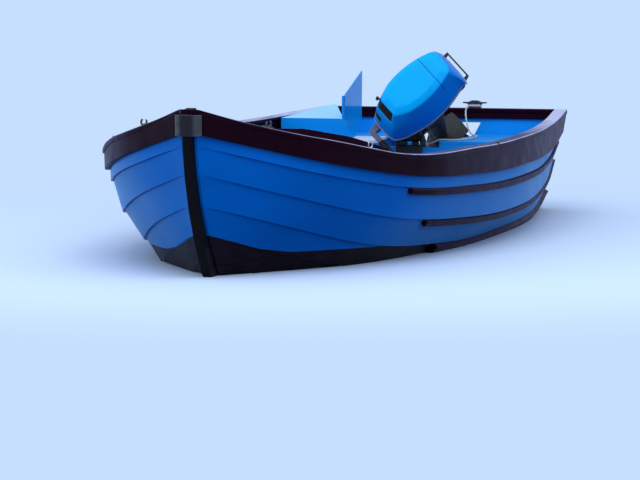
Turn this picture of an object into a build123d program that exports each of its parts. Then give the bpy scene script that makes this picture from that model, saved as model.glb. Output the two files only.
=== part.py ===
"""Clinker-built open boat with an outboard motor parked tilted up in an inboard well.

Millimetres. X runs forward to the bow, Y to port, Z up from the waterline.
The hull is planked with six strakes a side over a keel, stem and transom.
"""

import math
import os

from build123d import *

os.makedirs("parts", exist_ok=True)

# Driving dimensions of the hull
LENGTH = 4300
BOW_X = LENGTH / 2
PLANK = 12
FAY = 0.5
STEM_SIDED = 40
STEM_PROUD = 26
STEM_INSIDE = 44
STEM_HEAD_Z = 714
BAND_THICK = 3
KEEL_SIDED = 46
KEEL_DEPTH = 60
HOG_HEIGHT = 26
TRANSOM_THICK = 28
TRANSOM_TOP_S = 4300
TRANSOM_RAKE = 100 / 615

# Gunwale, rubbing strake and toe rail
CAP_THICK = 20
CAP_INBOARD = 26
CAP_OUTBOARD = 3
RUB_THICK = 26
RUB_DEPTH_SHARE = 0.60
TOE_HEIGHT = 26
TOE_THICK = 22

# Well, aft deck and cockpit
WELL_HALF = 260
WELL_WALL = 16
WELL_FRONT_S = 3600
MOTOR_BOARD = 42
MOTOR_BOARD_TOP = 340
DECK_TOP = 372
DECK_THICK = 14
BULKHEAD = 16
WINDOW_HALF = 198
WINDOW_TAPER = 38
WINDOW_SHOULDER = 75
NOTCH_HALF = 150
DECK_EDGE_HALF = 200
WINDOW_TOP = 426
SOLE_TOP = -30
SOLE_THICK = 15
THWART_TOP = 258
THWART_THICK = 24
THWART_WIDTH = 230
RISER_DEPTH = 30
RISER_THICK = 22

# Outboard motor, placed by its tilt pivot; heights and lengths from there, at rest in the water and straight ahead
PIVOT_S = 3600
PIVOT_Z = 385
TILT = 70
STEER = -45
STEER_AFT = 80
PIN = 9
CHEEK_AT = 55
CHEEK_THICK = 12
SHAFT = 12
TUBE = 21
TUBE_TOP = 58
TUBE_FOOT = -150
DRIVE_AFT = 52
PAN_FOOT = 92
PAN_TOP = 168
RIM_THICK = 7
COWL_HEIGHT = 194
COWL_WALL = 4
PLATE_Z = -428
PLATE_THICK = 6
PROP_Z = -540
PROP_AFT = 165
PROP_RADIUS = 92
SKEG_Z = -668
TORPEDO = 36
BLADE_PITCH = 28
GRIP = 17

RABBET_HALF = KEEL_SIDED / 2 + 2 * FAY
# Each line of the hull: where it leaves the stem (s aft of the stem head, z), then half-breadth and height
# at the stations, the last of them on the raked transom
STATION_S = [350, 900, 1700, 2600, 3500, TRANSOM_TOP_S]
LINES = {
    "sheer": {"stem": (0, 694), "half": [375, 655, 800, 815, 728, 612], "z": [594, 500, 450, 441, 452, 480]},
    "lap_1": {"stem": (14, 560), "half": [360, 632, 800, 824, 712, 582], "z": [452, 350, 303, 296, 304, 342]},
    "lap_2": {"stem": (44, 440), "half": [305, 578, 752, 794, 698, 566], "z": [345, 222, 160, 152, 185, 252]},
    "lap_3": {"stem": (100, 305), "half": [245, 485, 642, 678, 632, 532], "z": [225, 105, 48, 42, 52, 105]},
    "lap_4": {"stem": (175, 180), "half": [180, 405, 530, 560, 530, 455], "z": [112, 5, -62, -75, -65, -15]},
    "lap_5": {"stem": (265, 60), "half": [126, 288, 382, 404, 380, 318], "z": [0, -92, -135, -145, -135, -85]},
    "rabbet": {"stem": (400, -70), "half": [RABBET_HALF] * 6, "z": [-128, -165, -190, -196, -182, -135]},
}
# How much further aft than the first station each line's own first section lies
FIRST_SHIFT = {"sheer": 0, "lap_1": 4, "lap_2": 12, "lap_3": 30, "lap_4": 60, "lap_5": 120, "rabbet": 250}
KNOTS = [0] + STATION_S
SECTIONS = [0, 80, 160, 250, 350, 480, 620, 800, 1000, 1250, 1550, 1900, 2300, 2700, 3100, 3500, 3900, TRANSOM_TOP_S]
STEM_HALF = STEM_SIDED / 2 + FAY + PLANK
STRAKES = ["sheer", "lap_1", "lap_2", "lap_3", "lap_4", "lap_5", "rabbet"]
STRAKE_NAMES = ["sheer_strake", "upper_topside", "lower_topside", "bilge_strake", "bottom_strake", "garboard"]
SIDES = {"port": 1, "starboard": -1}


def x_at(s):
    """Forward position of a point s aft of the stem head."""
    return BOW_X - s


def transom_s(z):
    """Aft face of the transom at height z."""
    return TRANSOM_TOP_S - TRANSOM_RAKE * (LINES["sheer"]["z"][-1] - z)


def table_points(name):
    """The points (s, half-breadth, z) of one line's row of the table, from stem to transom."""
    row = LINES[name]
    points = [(row["stem"][0], STEM_HALF, row["stem"][1])]
    for s, half, z in zip(STATION_S, row["half"], row["z"]):
        if s == STATION_S[0]:
            s = s + FIRST_SHIFT[name]
        if s == TRANSOM_TOP_S:
            s = transom_s(z)
        points.append((s, half, z))
    return points


def fair(values, t):
    """A smooth curve through the values at the knots, at t: a cubic between neighbours with three-point slopes."""
    slopes = []
    for i in range(len(KNOTS)):
        a, b, c = max(i - 1, 0), i, min(i + 1, len(KNOTS) - 1)
        back = (values[b] - values[a]) / (KNOTS[b] - KNOTS[a]) if b > a else None
        ahead = (values[c] - values[b]) / (KNOTS[c] - KNOTS[b]) if c > b else None
        if back is None or ahead is None:
            slopes.append(ahead if back is None else back)
        else:
            share = (KNOTS[b] - KNOTS[a]) / (KNOTS[c] - KNOTS[a])
            slopes.append(ahead * share + back * (1 - share))
    i = max(k for k in range(len(KNOTS) - 1) if KNOTS[k] <= t)
    span = KNOTS[i + 1] - KNOTS[i]
    u = (t - KNOTS[i]) / span
    return (
        values[i] * (1 + 2 * u) * (1 - u) ** 2
        + slopes[i] * span * u * (1 - u) ** 2
        + values[i + 1] * u * u * (3 - 2 * u)
        + slopes[i + 1] * span * u * u * (u - 1)
    )


def line_points(name, sections=None):
    """The points of one line at the hull's sections, faired through the table, and straight between them."""
    columns = list(zip(*table_points(name)))
    points = []
    for t in sections or SECTIONS:
        after = min(k for k, section in enumerate(SECTIONS) if section >= t)
        before = max(after - 1, 0)
        ends = [[fair(column, SECTIONS[k]) for column in columns] for k in (before, after)]
        span = SECTIONS[after] - SECTIONS[before]
        share = (t - SECTIONS[before]) / span if span else 0
        points.append(between(ends[0], ends[1], share))
    return points


def cross_plane(upper, lower):
    """The plane across the boat through two points on a section, its local x to port and local y up the section."""
    up = Vector(x_at(upper[0]) - x_at(lower[0]), 0, upper[2] - lower[2]).normalized()
    across = Vector(0, 1, 0)
    return Plane(origin=(x_at(lower[0]), 0, lower[2]), x_dir=across, z_dir=across.cross(up)), up


def section_quad(upper, lower, inner, outer, side):
    """Places and draws a four-sided section: offsets of its inner and outer corners are (at upper, at lower)."""
    plane, up = cross_plane(upper, lower)
    rise = math.hypot(upper[0] - lower[0], upper[2] - lower[2])
    u = (upper[1], rise)
    v = (lower[1], 0)
    length = math.hypot(u[0] - v[0], u[1] - v[1])
    n = ((u[1] - v[1]) / length, -(u[0] - v[0]) / length)
    corners = [
        (v[0] + n[0] * inner[1], v[1] + n[1] * inner[1]),
        (u[0] + n[0] * inner[0], u[1] + n[1] * inner[0]),
        (u[0] + n[0] * outer[0], u[1] + n[1] * outer[0]),
        (v[0] + n[0] * outer[1], v[1] + n[1] * outer[1]),
    ]
    return plane, [(side * y, w) for y, w in corners]


def between(a, b, t):
    """The point a share t of the way from a to b."""
    return tuple(p + (q - p) * t for p, q in zip(a, b))


def loft_along(uppers, lowers, inner, outer, side):
    """A strip lofted through its sections, as a finished part."""
    with BuildPart() as strip:
        for upper, lower in zip(uppers, lowers):
            plane, corners = section_quad(upper, lower, inner, outer, side)
            with BuildSketch(plane):
                Polygon(*corners, align=None)
        loft(ruled=True)
    return strip


def write(built, name, place=None):
    """Labels a finished piece, moved to its place where it was drawn elsewhere, and writes its STEP file."""
    piece = built.part.moved(place) if place else built.part
    piece.label = name
    export_step(piece, f"parts/{name}.step")



def station(name, s):
    """The point (s, half-breadth, z) where one line crosses the transverse plane at s."""
    points = line_points(name)
    for before, after in zip(points, points[1:]):
        if before[0] <= s <= after[0]:
            return between(before, after, (s - before[0]) / (after[0] - before[0]))
    return points[-1]


def section_rows(s):
    """Every line's point on the transverse plane at s, or on the raked transom face."""
    if s == TRANSOM_TOP_S:
        return [line_points(name, [s])[0] for name in STRAKES]
    return [station(name, s) for name in STRAKES]


def skin_at(s, z, clearance=1.0):
    """Half-breadth of the planking's inner face at s and height z, less a clearance."""
    rows = section_rows(s)
    for upper, lower in zip(rows, rows[1:]):
        if upper[2] >= z >= lower[2]:
            share = (upper[2] - z) / (upper[2] - lower[2])
            slope = math.hypot(upper[1] - lower[1], upper[2] - lower[2]) / (upper[2] - lower[2])
            outer = upper[1] + (lower[1] - upper[1]) * share
            return outer - slope * (PLANK * (1 - share) - FAY * share) - clearance
    raise ValueError(f"no plank spans height {z} at {s}")


def inside_outline(s, top, clearance):
    """Points (half-breadth, z) down the inside of the planking from a height to the keel, stepped at the laps."""
    points = [(skin_at(s, top, clearance), top)]
    rows = section_rows(s)
    for upper, lower in zip(rows, rows[1:]):
        length = math.hypot(upper[1] - lower[1], upper[2] - lower[2])
        n = ((upper[2] - lower[2]) / length, -(upper[1] - lower[1]) / length)
        u = (-n[1] * clearance, n[0] * clearance)
        if upper[2] < top:
            deep = PLANK + clearance
            points.append((upper[1] - n[0] * deep + u[0], upper[2] - n[1] * deep + u[1]))
        if lower[2] < top:
            points.append((lower[1] - n[0] * clearance + u[0], lower[2] - n[1] * clearance + u[1]))
    return points


def both_sides(points):
    """A closed outline from the port points and the same points mirrored."""
    return points + [(-y, z) for y, z in reversed(points)]


def frame_plane(s):
    """The plane square across the boat at s, local x to port and local y up, facing forward."""
    return Plane(origin=(x_at(s), 0, 0), x_dir=(0, 1, 0), z_dir=(1, 0, 0))


# Planking, each strake over the top edge of the one below, the garboards cut away for the motor well
WELL_OUT = WELL_HALF + WELL_WALL
for side_name, side in SIDES.items():
    for name, top, bottom in zip(STRAKE_NAMES, STRAKES, STRAKES[1:]):
        strake = loft_along(line_points(top), line_points(bottom), (-PLANK, FAY), (0, PLANK + FAY), side)
        if name == "garboard":
            with BuildPart(mode=Mode.PRIVATE) as well_cut:
                with BuildSketch(Plane.XY.offset(-400)):
                    with Locations((x_at(WELL_FRONT_S - BULKHEAD) - 500, 0)):
                        Rectangle(1000, 2 * (WELL_OUT + FAY))
                extrude(amount=800)
            with BuildPart() as trimmed:
                add(strake.part)
                add(well_cut.part, mode=Mode.SUBTRACT)
            strake = trimmed
        write(strake, f"{name}_{side_name}")

# Rubbing strake outside the sheer strake, and the cap on top of both
CAP_OUT = RUB_THICK + CAP_OUTBOARD
for side_name, side in SIDES.items():
    sheer = line_points("sheer")
    low = [between(a, b, RUB_DEPTH_SHARE) for a, b in zip(sheer, line_points("lap_1"))]
    stand_off = RUB_DEPTH_SHARE * (PLANK + FAY) + FAY
    write(loft_along(sheer, low, (FAY, stand_off), (RUB_THICK, RUB_THICK + stand_off - FAY), side),
          f"rubbing_strake_{side_name}")
    with BuildPart() as cap:
        for (s, half, z), lap in zip(sheer, line_points("lap_1")):
            inner = max(half - PLANK - CAP_INBOARD, STEM_SIDED / 2 + FAY)
            outer = half + CAP_OUT
            tilt = (half - lap[1]) / (z - lap[2])
            foot = z + 2 * FAY
            with BuildSketch(frame_plane(s)):
                Polygon(
                    (side * inner, foot - (inner - half) * tilt),
                    (side * outer, foot - (outer - half) * tilt),
                    (side * outer, foot + CAP_THICK),
                    (side * inner, foot + CAP_THICK),
                    align=None,
                )
        loft(ruled=True)
    write(cap, f"gunwale_cap_{side_name}")

# Toe rail on the cap, round the foredeck
TOE_SECTIONS = [(300, 8), (350, 18), (480, 22), (620, TOE_HEIGHT), (800, TOE_HEIGHT), (860, TOE_HEIGHT)]
with BuildPart() as toe_rails:
    for side in SIDES.values():
        with BuildPart(mode=Mode.PRIVATE) as toe:
            for t, height in TOE_SECTIONS:
                s, half, z = line_points("sheer", [t])[0]
                foot = z + CAP_THICK + 3 * FAY
                with BuildSketch(frame_plane(s)):
                    with Locations((side * (half - PLANK - 6), foot + height / 2)):
                        Rectangle(TOE_THICK, height)
            loft(ruled=True)
        add(toe.part)
write(toe_rails, "toe_rails")

# Rubbing battens along the laps of the after body, and the bilge rail below them
BATTENS = {
    # name: (lap below it, lap above it, first section, height share, thickness)
    "upper_battens": ("lap_1", "sheer", 1000, 0.18, 13),
    "lower_battens": ("lap_2", "lap_1", 1300, 0.19, 13),
    "bilge_rails": ("lap_3", "lap_2", 1550, 0.28, 24),
}
for name, (foot_line, head_line, start, share, thick) in BATTENS.items():
    sections = [start] + [t for t in SECTIONS if t > start + 100]
    foot = line_points(foot_line, sections)
    head = [between(a, b, share) for a, b in zip(foot, line_points(head_line, sections))]
    skin = PLANK + FAY
    inner = (skin * (1 - share) + FAY, skin + FAY)
    outer = (inner[0] + thick, inner[1] + thick)
    with BuildPart() as battens:
        for side in SIDES.values():
            add(loft_along(head, foot, inner, outer, side).part)
    write(battens, name)


def offset_line(points, distances):
    """Points moved square to a line of (x, z) points, by a distance at each."""
    moved = []
    for i, ((x, z), distance) in enumerate(zip(points, distances)):
        before = points[max(i - 1, 0)]
        after = points[min(i + 1, len(points) - 1)]
        run = (after[0] - before[0], after[1] - before[1])
        length = math.hypot(*run)
        moved.append((x + run[1] / length * distance, z - run[0] / length * distance))
    return moved


# Backbone: stem with its metal band, and keel
stem_line = [(x_at(LINES[name]["stem"][0]), LINES[name]["stem"][1]) for name in STRAKES]
stem_line = [(BOW_X, STEM_HEAD_Z)] + stem_line[1:] + [(x_at(650), -140)]
growth = [STEM_PROUD + (KEEL_DEPTH - STEM_PROUD) * i / (len(stem_line) - 1) for i in range(len(stem_line))]
stem_front = offset_line(stem_line, [-g for g in growth])
stem_back = offset_line(stem_line, [STEM_INSIDE] * len(stem_line))
heel_x, heel_z = stem_line[-1]
stem_front[-1] = (heel_x, heel_z - KEEL_DEPTH)
stem_back[-1] = (heel_x, heel_z + HOG_HEIGHT)
side_plane = Plane(origin=(0, 0, 0), x_dir=(1, 0, 0), z_dir=(0, -1, 0))
with BuildPart() as stem:
    with BuildSketch(side_plane):
        Polygon(*stem_front, *reversed(stem_back), align=None)
    extrude(amount=STEM_SIDED / 2, both=True)
write(stem, "stem")

band_front = offset_line(stem_front, [-BAND_THICK - FAY] * len(stem_front))
band_back = offset_line(stem_front, [-FAY] * len(stem_front))
with BuildPart() as band:
    with BuildSketch(side_plane):
        Polygon(*band_front, *reversed(band_back), align=None)
    extrude(amount=STEM_SIDED / 2 - 1, both=True)
write(band, "stem_band")

keel_sections = [650.5, 900, 1300, 1700, 2150, 2600, 3050, 3500, WELL_FRONT_S - BULKHEAD - FAY]
keel_line = [(x_at(s), station("rabbet", s)[2]) for s in keel_sections]
keel_line[0] = (x_at(650.5), -140)
with BuildPart() as keel:
    with BuildSketch(side_plane):
        low = [(x, z - KEEL_DEPTH) for x, z in keel_line]
        high = [(x, z + HOG_HEIGHT) for x, z in keel_line]
        Polygon(*low, *reversed(high), align=None)
    extrude(amount=KEEL_SIDED / 2, both=True)
write(keel, "keel")

# Nose block that closes the ends of the rubbing strakes round the stem head
NOSE_DEPTH = 88
NOSE_FRONT = STEM_PROUD + 11
NOSE_HALF = STEM_HALF + RUB_THICK
with BuildPart() as nose:
    with BuildSketch(Plane.XY.offset(STEM_HEAD_Z + FAY - NOSE_DEPTH)):
        with BuildLine():
            Polyline(
                (BOW_X + FAY, -NOSE_HALF),
                (BOW_X + NOSE_FRONT - 12, -NOSE_HALF + 14),
                (BOW_X + NOSE_FRONT, -STEM_SIDED / 2),
                (BOW_X + NOSE_FRONT, STEM_SIDED / 2),
                (BOW_X + NOSE_FRONT - 12, NOSE_HALF - 14),
                (BOW_X + FAY, NOSE_HALF),
                close=True,
            )
        make_face()
    extrude(amount=NOSE_DEPTH)
    with BuildSketch(Plane.XY.offset(STEM_HEAD_Z + FAY)):
        with Locations((BOW_X, 0)):
            Rectangle(2 * (STEM_PROUD + BAND_THICK + 2 * FAY + 1), STEM_SIDED + 2 * FAY)
    extrude(amount=-NOSE_DEPTH, mode=Mode.SUBTRACT)
write(nose, "stem_head_block")

# Transom on its raked plane, with the opening that lets the leg tilt through
rake_length = math.hypot(1, TRANSOM_RAKE)
TRANSOM_TOP = 479
transom_plane = Plane(
    origin=(x_at(transom_s(0)), 0, 0), x_dir=(0, 1, 0), z_dir=(1, 0, TRANSOM_RAKE)
)
transom_outline = both_sides(inside_outline(TRANSOM_TOP_S, TRANSOM_TOP, 3 * FAY))
with BuildPart() as transom:
    with BuildSketch(transom_plane):
        Polygon(*[(y, z * rake_length) for y, z in transom_outline], align=None)
        slot_half = [
            (WINDOW_HALF, WINDOW_TOP * rake_length),
            (WINDOW_HALF - WINDOW_TAPER, (WINDOW_TOP - WINDOW_SHOULDER) * rake_length),
            (WINDOW_HALF - WINDOW_TAPER, -400),
        ]
        Polygon(*slot_half, *[(-y, z) for y, z in reversed(slot_half)], align=None, mode=Mode.SUBTRACT)
    extrude(amount=TRANSOM_THICK)
    with Locations((x_at(TRANSOM_TOP_S), 0, TRANSOM_TOP)):
        Box(300, 1400, 60, align=(Align.CENTER, Align.CENTER, Align.MIN), mode=Mode.SUBTRACT)
write(transom, "transom")

TRANSOM_CAP_S = TRANSOM_TOP_S - 52
cap_inner = station("sheer", TRANSOM_TOP_S - 1)[1] - PLANK - CAP_INBOARD
with BuildPart() as transom_cap:
    with Locations((x_at(TRANSOM_TOP_S + 4), 0, TRANSOM_TOP + FAY)):
        Box(56, 2 * (cap_inner - 1), CAP_THICK + 1, align=(Align.MIN, Align.CENTER, Align.MIN))
write(transom_cap, "transom_cap")

BOARD_DEPTH = 36
BOARD_THICK = 18
with BuildPart() as inner_board:
    with BuildSketch(transom_plane.offset(TRANSOM_THICK + FAY)):
        with Locations((0, (TRANSOM_TOP - 1) * rake_length)):
            Rectangle(2 * (cap_inner - 1), BOARD_DEPTH, align=(Align.CENTER, Align.MAX))
    extrude(amount=BOARD_THICK)
    with Locations((x_at(TRANSOM_TOP_S), 0, TRANSOM_TOP)):
        Box(300, 1400, 60, align=(Align.CENTER, Align.CENTER, Align.MIN), mode=Mode.SUBTRACT)
write(inner_board, "transom_inner_board")

# Bulkhead ahead of the well, the board that carries the motor, the well's sides and the decks beside it
DECK_FOOT = DECK_TOP - DECK_THICK
bulkhead_s = WELL_FRONT_S - BULKHEAD / 2
bulkhead_outline = both_sides(inside_outline(bulkhead_s, DECK_FOOT - FAY, 2))
with BuildPart() as bulkhead:
    with BuildSketch(frame_plane(WELL_FRONT_S)):
        Polygon(*bulkhead_outline, align=None)
        with Locations((0, MOTOR_BOARD_TOP)):
            Rectangle(2 * NOTCH_HALF, 100, align=(Align.CENTER, Align.MIN), mode=Mode.SUBTRACT)
    extrude(amount=BULKHEAD)
write(bulkhead, "aft_bulkhead")

with BuildPart() as motor_board:
    with Locations((x_at(WELL_FRONT_S) - FAY, 0, MOTOR_BOARD_TOP)):
        Box(MOTOR_BOARD, 2 * (WELL_HALF - FAY), 230, align=(Align.MAX, Align.CENTER, Align.MAX))
write(motor_board, "motor_board")


def well_foot(s):
    """Height of the planking's outer face where the well's side comes down through it."""
    lap = station("lap_5", s)
    rabbet = station("rabbet", s)
    return rabbet[2] + (lap[2] - rabbet[2]) * (WELL_OUT - rabbet[1]) / (lap[1] - rabbet[1]) - PLANK

wall_end = transom_s(DECK_FOOT) - TRANSOM_THICK * rake_length - 2 * FAY
wall_low_end = transom_s(well_foot(4200)) - TRANSOM_THICK * rake_length - 2 * FAY
with BuildPart() as well_sides:
    for side in SIDES.values():
        with BuildSketch(Plane(origin=(0, side * WELL_HALF, 0), x_dir=(1, 0, 0), z_dir=(0, -1, 0))):
            Polygon(
                (x_at(WELL_FRONT_S) - FAY, DECK_FOOT - FAY),
                (x_at(WELL_FRONT_S) - FAY, well_foot(WELL_FRONT_S)),
                (x_at(3900), well_foot(3900)),
                (x_at(wall_low_end), well_foot(wall_low_end)),
                (x_at(wall_end), DECK_FOOT - FAY),
                align=None,
            )
        extrude(amount=-side * WELL_WALL)
write(well_sides, "well_sides")

deck_s = [WELL_FRONT_S - BULKHEAD, 3900, wall_end - 2]
DECK_MARGIN = 60
with BuildPart() as aft_decks:
    for side in SIDES.values():
        with BuildSketch(Plane.XY.offset(DECK_FOOT)):
            edge = [(x_at(s), side * (skin_at(s, DECK_FOOT) - 2)) for s in deck_s]
            inner = [
                (x_at(deck_s[-1]), side * DECK_EDGE_HALF),
                (x_at(deck_s[0] + DECK_MARGIN), side * DECK_EDGE_HALF),
                (x_at(deck_s[0] + DECK_MARGIN), side * NOTCH_HALF),
                (x_at(deck_s[0]), side * NOTCH_HALF),
            ]
            Polygon(*edge, *inner, align=None)
        extrude(amount=DECK_THICK)
write(aft_decks, "aft_decks")

# Foredeck between the gunwales
with BuildPart() as foredeck:
    for s in (110, 160, 250, 350, 480, 620, 800, 860):
        _, half, z = station("sheer", s)
        with BuildSketch(frame_plane(s)):
            with Locations((0, z - 1)):
                Rectangle(2 * (half - PLANK - 1.6), DECK_THICK, align=(Align.CENTER, Align.MAX))
    loft(ruled=True)
write(foredeck, "foredeck")

# Risers along the topsides and the thwarts that rest on them
RISER_TOP = THWART_TOP - THWART_THICK
with BuildPart() as risers:
    for side in SIDES.values():
        with BuildPart(mode=Mode.PRIVATE) as riser:
            for s in (1250, 1550, 1900, 2300, 2700, 3100, 3400):
                top = skin_at(s, RISER_TOP)
                foot = skin_at(s, RISER_TOP - RISER_DEPTH)
                with BuildSketch(frame_plane(s)):
                    Polygon(
                        (side * top, RISER_TOP),
                        (side * foot, RISER_TOP - RISER_DEPTH),
                        (side * (foot - RISER_THICK), RISER_TOP - RISER_DEPTH),
                        (side * (top - RISER_THICK), RISER_TOP),
                        align=None,
                    )
            loft(ruled=True)
        add(riser.part)
write(risers, "risers")

THWART_FRONTS = [1300, 2250]
with BuildPart() as thwarts:
    for front in THWART_FRONTS:
        back = front + THWART_WIDTH
        ends = [min(skin_at(s, z) for z in (RISER_TOP + 1, THWART_TOP)) - 1 for s in (front, back)]
        with BuildSketch(Plane.XY.offset(RISER_TOP + FAY)):
            Polygon(
                (x_at(front), ends[0]), (x_at(front), -ends[0]), (x_at(back), -ends[1]), (x_at(back), ends[1]),
                align=None,
            )
        extrude(amount=THWART_THICK)
write(thwarts, "thwarts")

# Floor timbers across the keel and the sole on top of them
FLOOR_S = [1250, 1900, 2500, 3100]
FLOOR_THICK = 28
SOLE_FOOT = SOLE_TOP - SOLE_THICK
with BuildPart() as floor_timbers:
    for s in FLOOR_S:
        ends = [s - FLOOR_THICK / 2, s + FLOOR_THICK / 2]
        outlines = [inside_outline(end, SOLE_FOOT - FAY, 3.5) for end in ends]
        outline = [(min(a[0], b[0]), max(a[1], b[1])) for a, b in zip(*outlines)]
        hog = max(station("rabbet", end)[2] for end in ends) + HOG_HEIGHT + 2
        outline[0] = (outline[0][0], SOLE_FOOT - FAY)
        outline[-1] = (KEEL_SIDED / 2 + 2, outline[-1][1] + 2)
        outline.append((KEEL_SIDED / 2 + 2, hog))
        with BuildSketch(frame_plane(s)):
            Polygon(*both_sides(outline), align=None)
        extrude(amount=FLOOR_THICK / 2, both=True)
write(floor_timbers, "floor_timbers")

sole_s = [1000, 1300, 1700, 2150, 2600, 3050, 3400, WELL_FRONT_S - BULKHEAD - FAY]
sole_edge = [(x_at(s), skin_at(s, SOLE_FOOT) - 3) for s in sole_s]
with BuildPart() as sole:
    with BuildSketch(Plane.XY.offset(SOLE_FOOT)):
        Polygon(*sole_edge, *[(x, -y) for x, y in reversed(sole_edge)], align=None)
    extrude(amount=SOLE_THICK)
write(sole, "sole")

# Locker on the starboard quarter, its top rising aft and its inner side leaning
LOCKER_FRONT_S = WELL_FRONT_S + 4
LOCKER_END_S = 4232
LOCKER_TOP = (475, 512)
LOCKER_OUT = [(x_at(s), -(station("sheer", s)[1] - PLANK - CAP_INBOARD - 3)) for s in (LOCKER_FRONT_S, 3900, LOCKER_END_S)]
with BuildPart() as locker:
    with BuildSketch(Plane.XY.offset(DECK_TOP + FAY)):
        Polygon(
            (x_at(LOCKER_FRONT_S), -292), (x_at(LOCKER_END_S), -485), *reversed(LOCKER_OUT),
            align=None,
        )
    extrude(amount=200)
    with BuildSketch(side_plane):
        Polygon(
            (x_at(LOCKER_FRONT_S) + 1, DECK_TOP), (x_at(LOCKER_FRONT_S) + 1, LOCKER_TOP[0]),
            (x_at(LOCKER_END_S) - 1, LOCKER_TOP[1]), (x_at(LOCKER_END_S) - 1, DECK_TOP),
            align=None,
        )
    extrude(amount=900, both=True, mode=Mode.INTERSECT)
    lean = Plane(
        origin=(x_at(LOCKER_FRONT_S), -292, DECK_TOP), x_dir=(x_at(LOCKER_END_S) - x_at(LOCKER_FRONT_S), -193, 0),
        z_dir=(-193 * 0.9, 628 * 0.9, 300),
    )
    split(bisect_by=lean, keep=Keep.BOTTOM)
write(locker, "quarter_locker")

# Screen sheet standing at the locker's inner edge, with its front post
SCREEN_AT = -334
SCREEN_THICK = 5
with BuildPart() as screen:
    with BuildSketch(Plane(origin=(0, SCREEN_AT, 0), x_dir=(1, 0, 0), z_dir=(0, -1, 0))):
        Polygon(
            (x_at(3605), 474), (x_at(3605), 588), (x_at(3625), 588), (x_at(3960), 700), (x_at(3950), 465),
            (x_at(3830), DECK_TOP + FAY), (x_at(3795), DECK_TOP + FAY),
            align=None,
        )
    extrude(amount=SCREEN_THICK / 2, both=True)
write(screen, "side_screen")

# Horn cleat on the transom cap, rings on the toe rails and fairleads by the bow
CLEAT_AT = (x_at(TRANSOM_TOP_S - 24), 163, TRANSOM_TOP + CAP_THICK + 1 + 2 * FAY)
with BuildPart() as cleat:
    with Locations(CLEAT_AT):
        Box(26, 66, 5, align=(Align.CENTER, Align.CENTER, Align.MIN))
    with BuildSketch(Plane.YZ.offset(CLEAT_AT[0])):
        with Locations((CLEAT_AT[1], CLEAT_AT[2])):
            Polygon(
                (-64, 25), (-38, 22), (-27, 4), (27, 4), (38, 22), (64, 25), (60, 31), (34, 31), (15, 39),
                (-15, 39), (-34, 31), (-60, 31),
                align=None,
            )
    extrude(amount=9, both=True)
write(cleat, "stern_cleat")

# Safety line of the motor: from the cleat, down over the deck's edge, along the deck and to the clamp's cheek
ROPE = 8
ROPE_ON_DECK = DECK_TOP + ROPE / 2 + 0.4
ROPE_ROUTE = [
    (-2114.5, 149, 511.5), (-2100, 141, 515), (-2080, 134, 511), (-2064, 131, 496), (-2050, 133, 478),
    (-2022, 142, 459), (-1994, 151, 443), (-1968, 162, 422), (-1946, 175, 400), (-1922, 191, 384),
    (-1888, 212, 377), (-1845, 236, ROPE_ON_DECK), (-1792, 254, ROPE_ON_DECK), (-1730, 264, ROPE_ON_DECK),
    (-1664, 269, ROPE_ON_DECK), (-1602, 266, ROPE_ON_DECK), (-1550, 254, ROPE_ON_DECK), (-1510, 231, ROPE_ON_DECK),
    (-1484, 203, ROPE_ON_DECK), (-1470, 174, 377.5), (-1465, 144, 378), (-1466, 118, 366), (-1468, 94, 355),
    (-1470, 68.1, 350),
]
rope_radii = []
for before, here, after in zip(ROPE_ROUTE, ROPE_ROUTE[1:], ROPE_ROUTE[2:]):
    run_in = Vector(*here) - Vector(*before)
    run_out = Vector(*after) - Vector(*here)
    half_turn = math.radians(run_in.get_angle(run_out)) / 2
    rope_radii.append(0.45 * min(run_in.length, run_out.length) / math.tan(half_turn))
print("rope radii:", [round(radius) for radius in rope_radii])
with BuildPart() as rope:
    with BuildLine() as rope_path:
        FilletPolyline(*ROPE_ROUTE, radius=rope_radii)
    rope_wire = rope_path.wires()[0]
    with BuildSketch(Plane(origin=ROPE_ROUTE[0], z_dir=rope_wire % 0)):
        Circle(ROPE / 2)
    sweep(path=rope_wire)
straight_volume = math.pi * (ROPE / 2) ** 2 * rope_wire.length
print("rope length:", round(rope_wire.length), "volume share:", round(rope.part.volume / straight_volume, 4))
write(rope, "motor_safety_line")

with BuildPart() as fairleads:
    for side in SIDES.values():
        with BuildPart(mode=Mode.PRIVATE) as fairlead:
            for t in (170, 245):
                s, half, z = line_points("sheer", [t])[0]
                with BuildSketch(frame_plane(s)):
                    with Locations((side * (half - 6), z + CAP_THICK + 3 * FAY + 9)):
                        Rectangle(24, 18)
            loft(ruled=True)
        add(fairlead.part)
write(fairleads, "fairleads")

# Outboard motor, drawn straight ahead and untilted: x forward from the tilt pivot, then turned to its parked pose
TILTED = Location((x_at(PIVOT_S), 0, PIVOT_Z)) * Location((0, 0, 0), (0, TILT, 0))
STEERED = TILTED * Location((-STEER_AFT, 0, 0), (0, 0, STEER))

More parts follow.
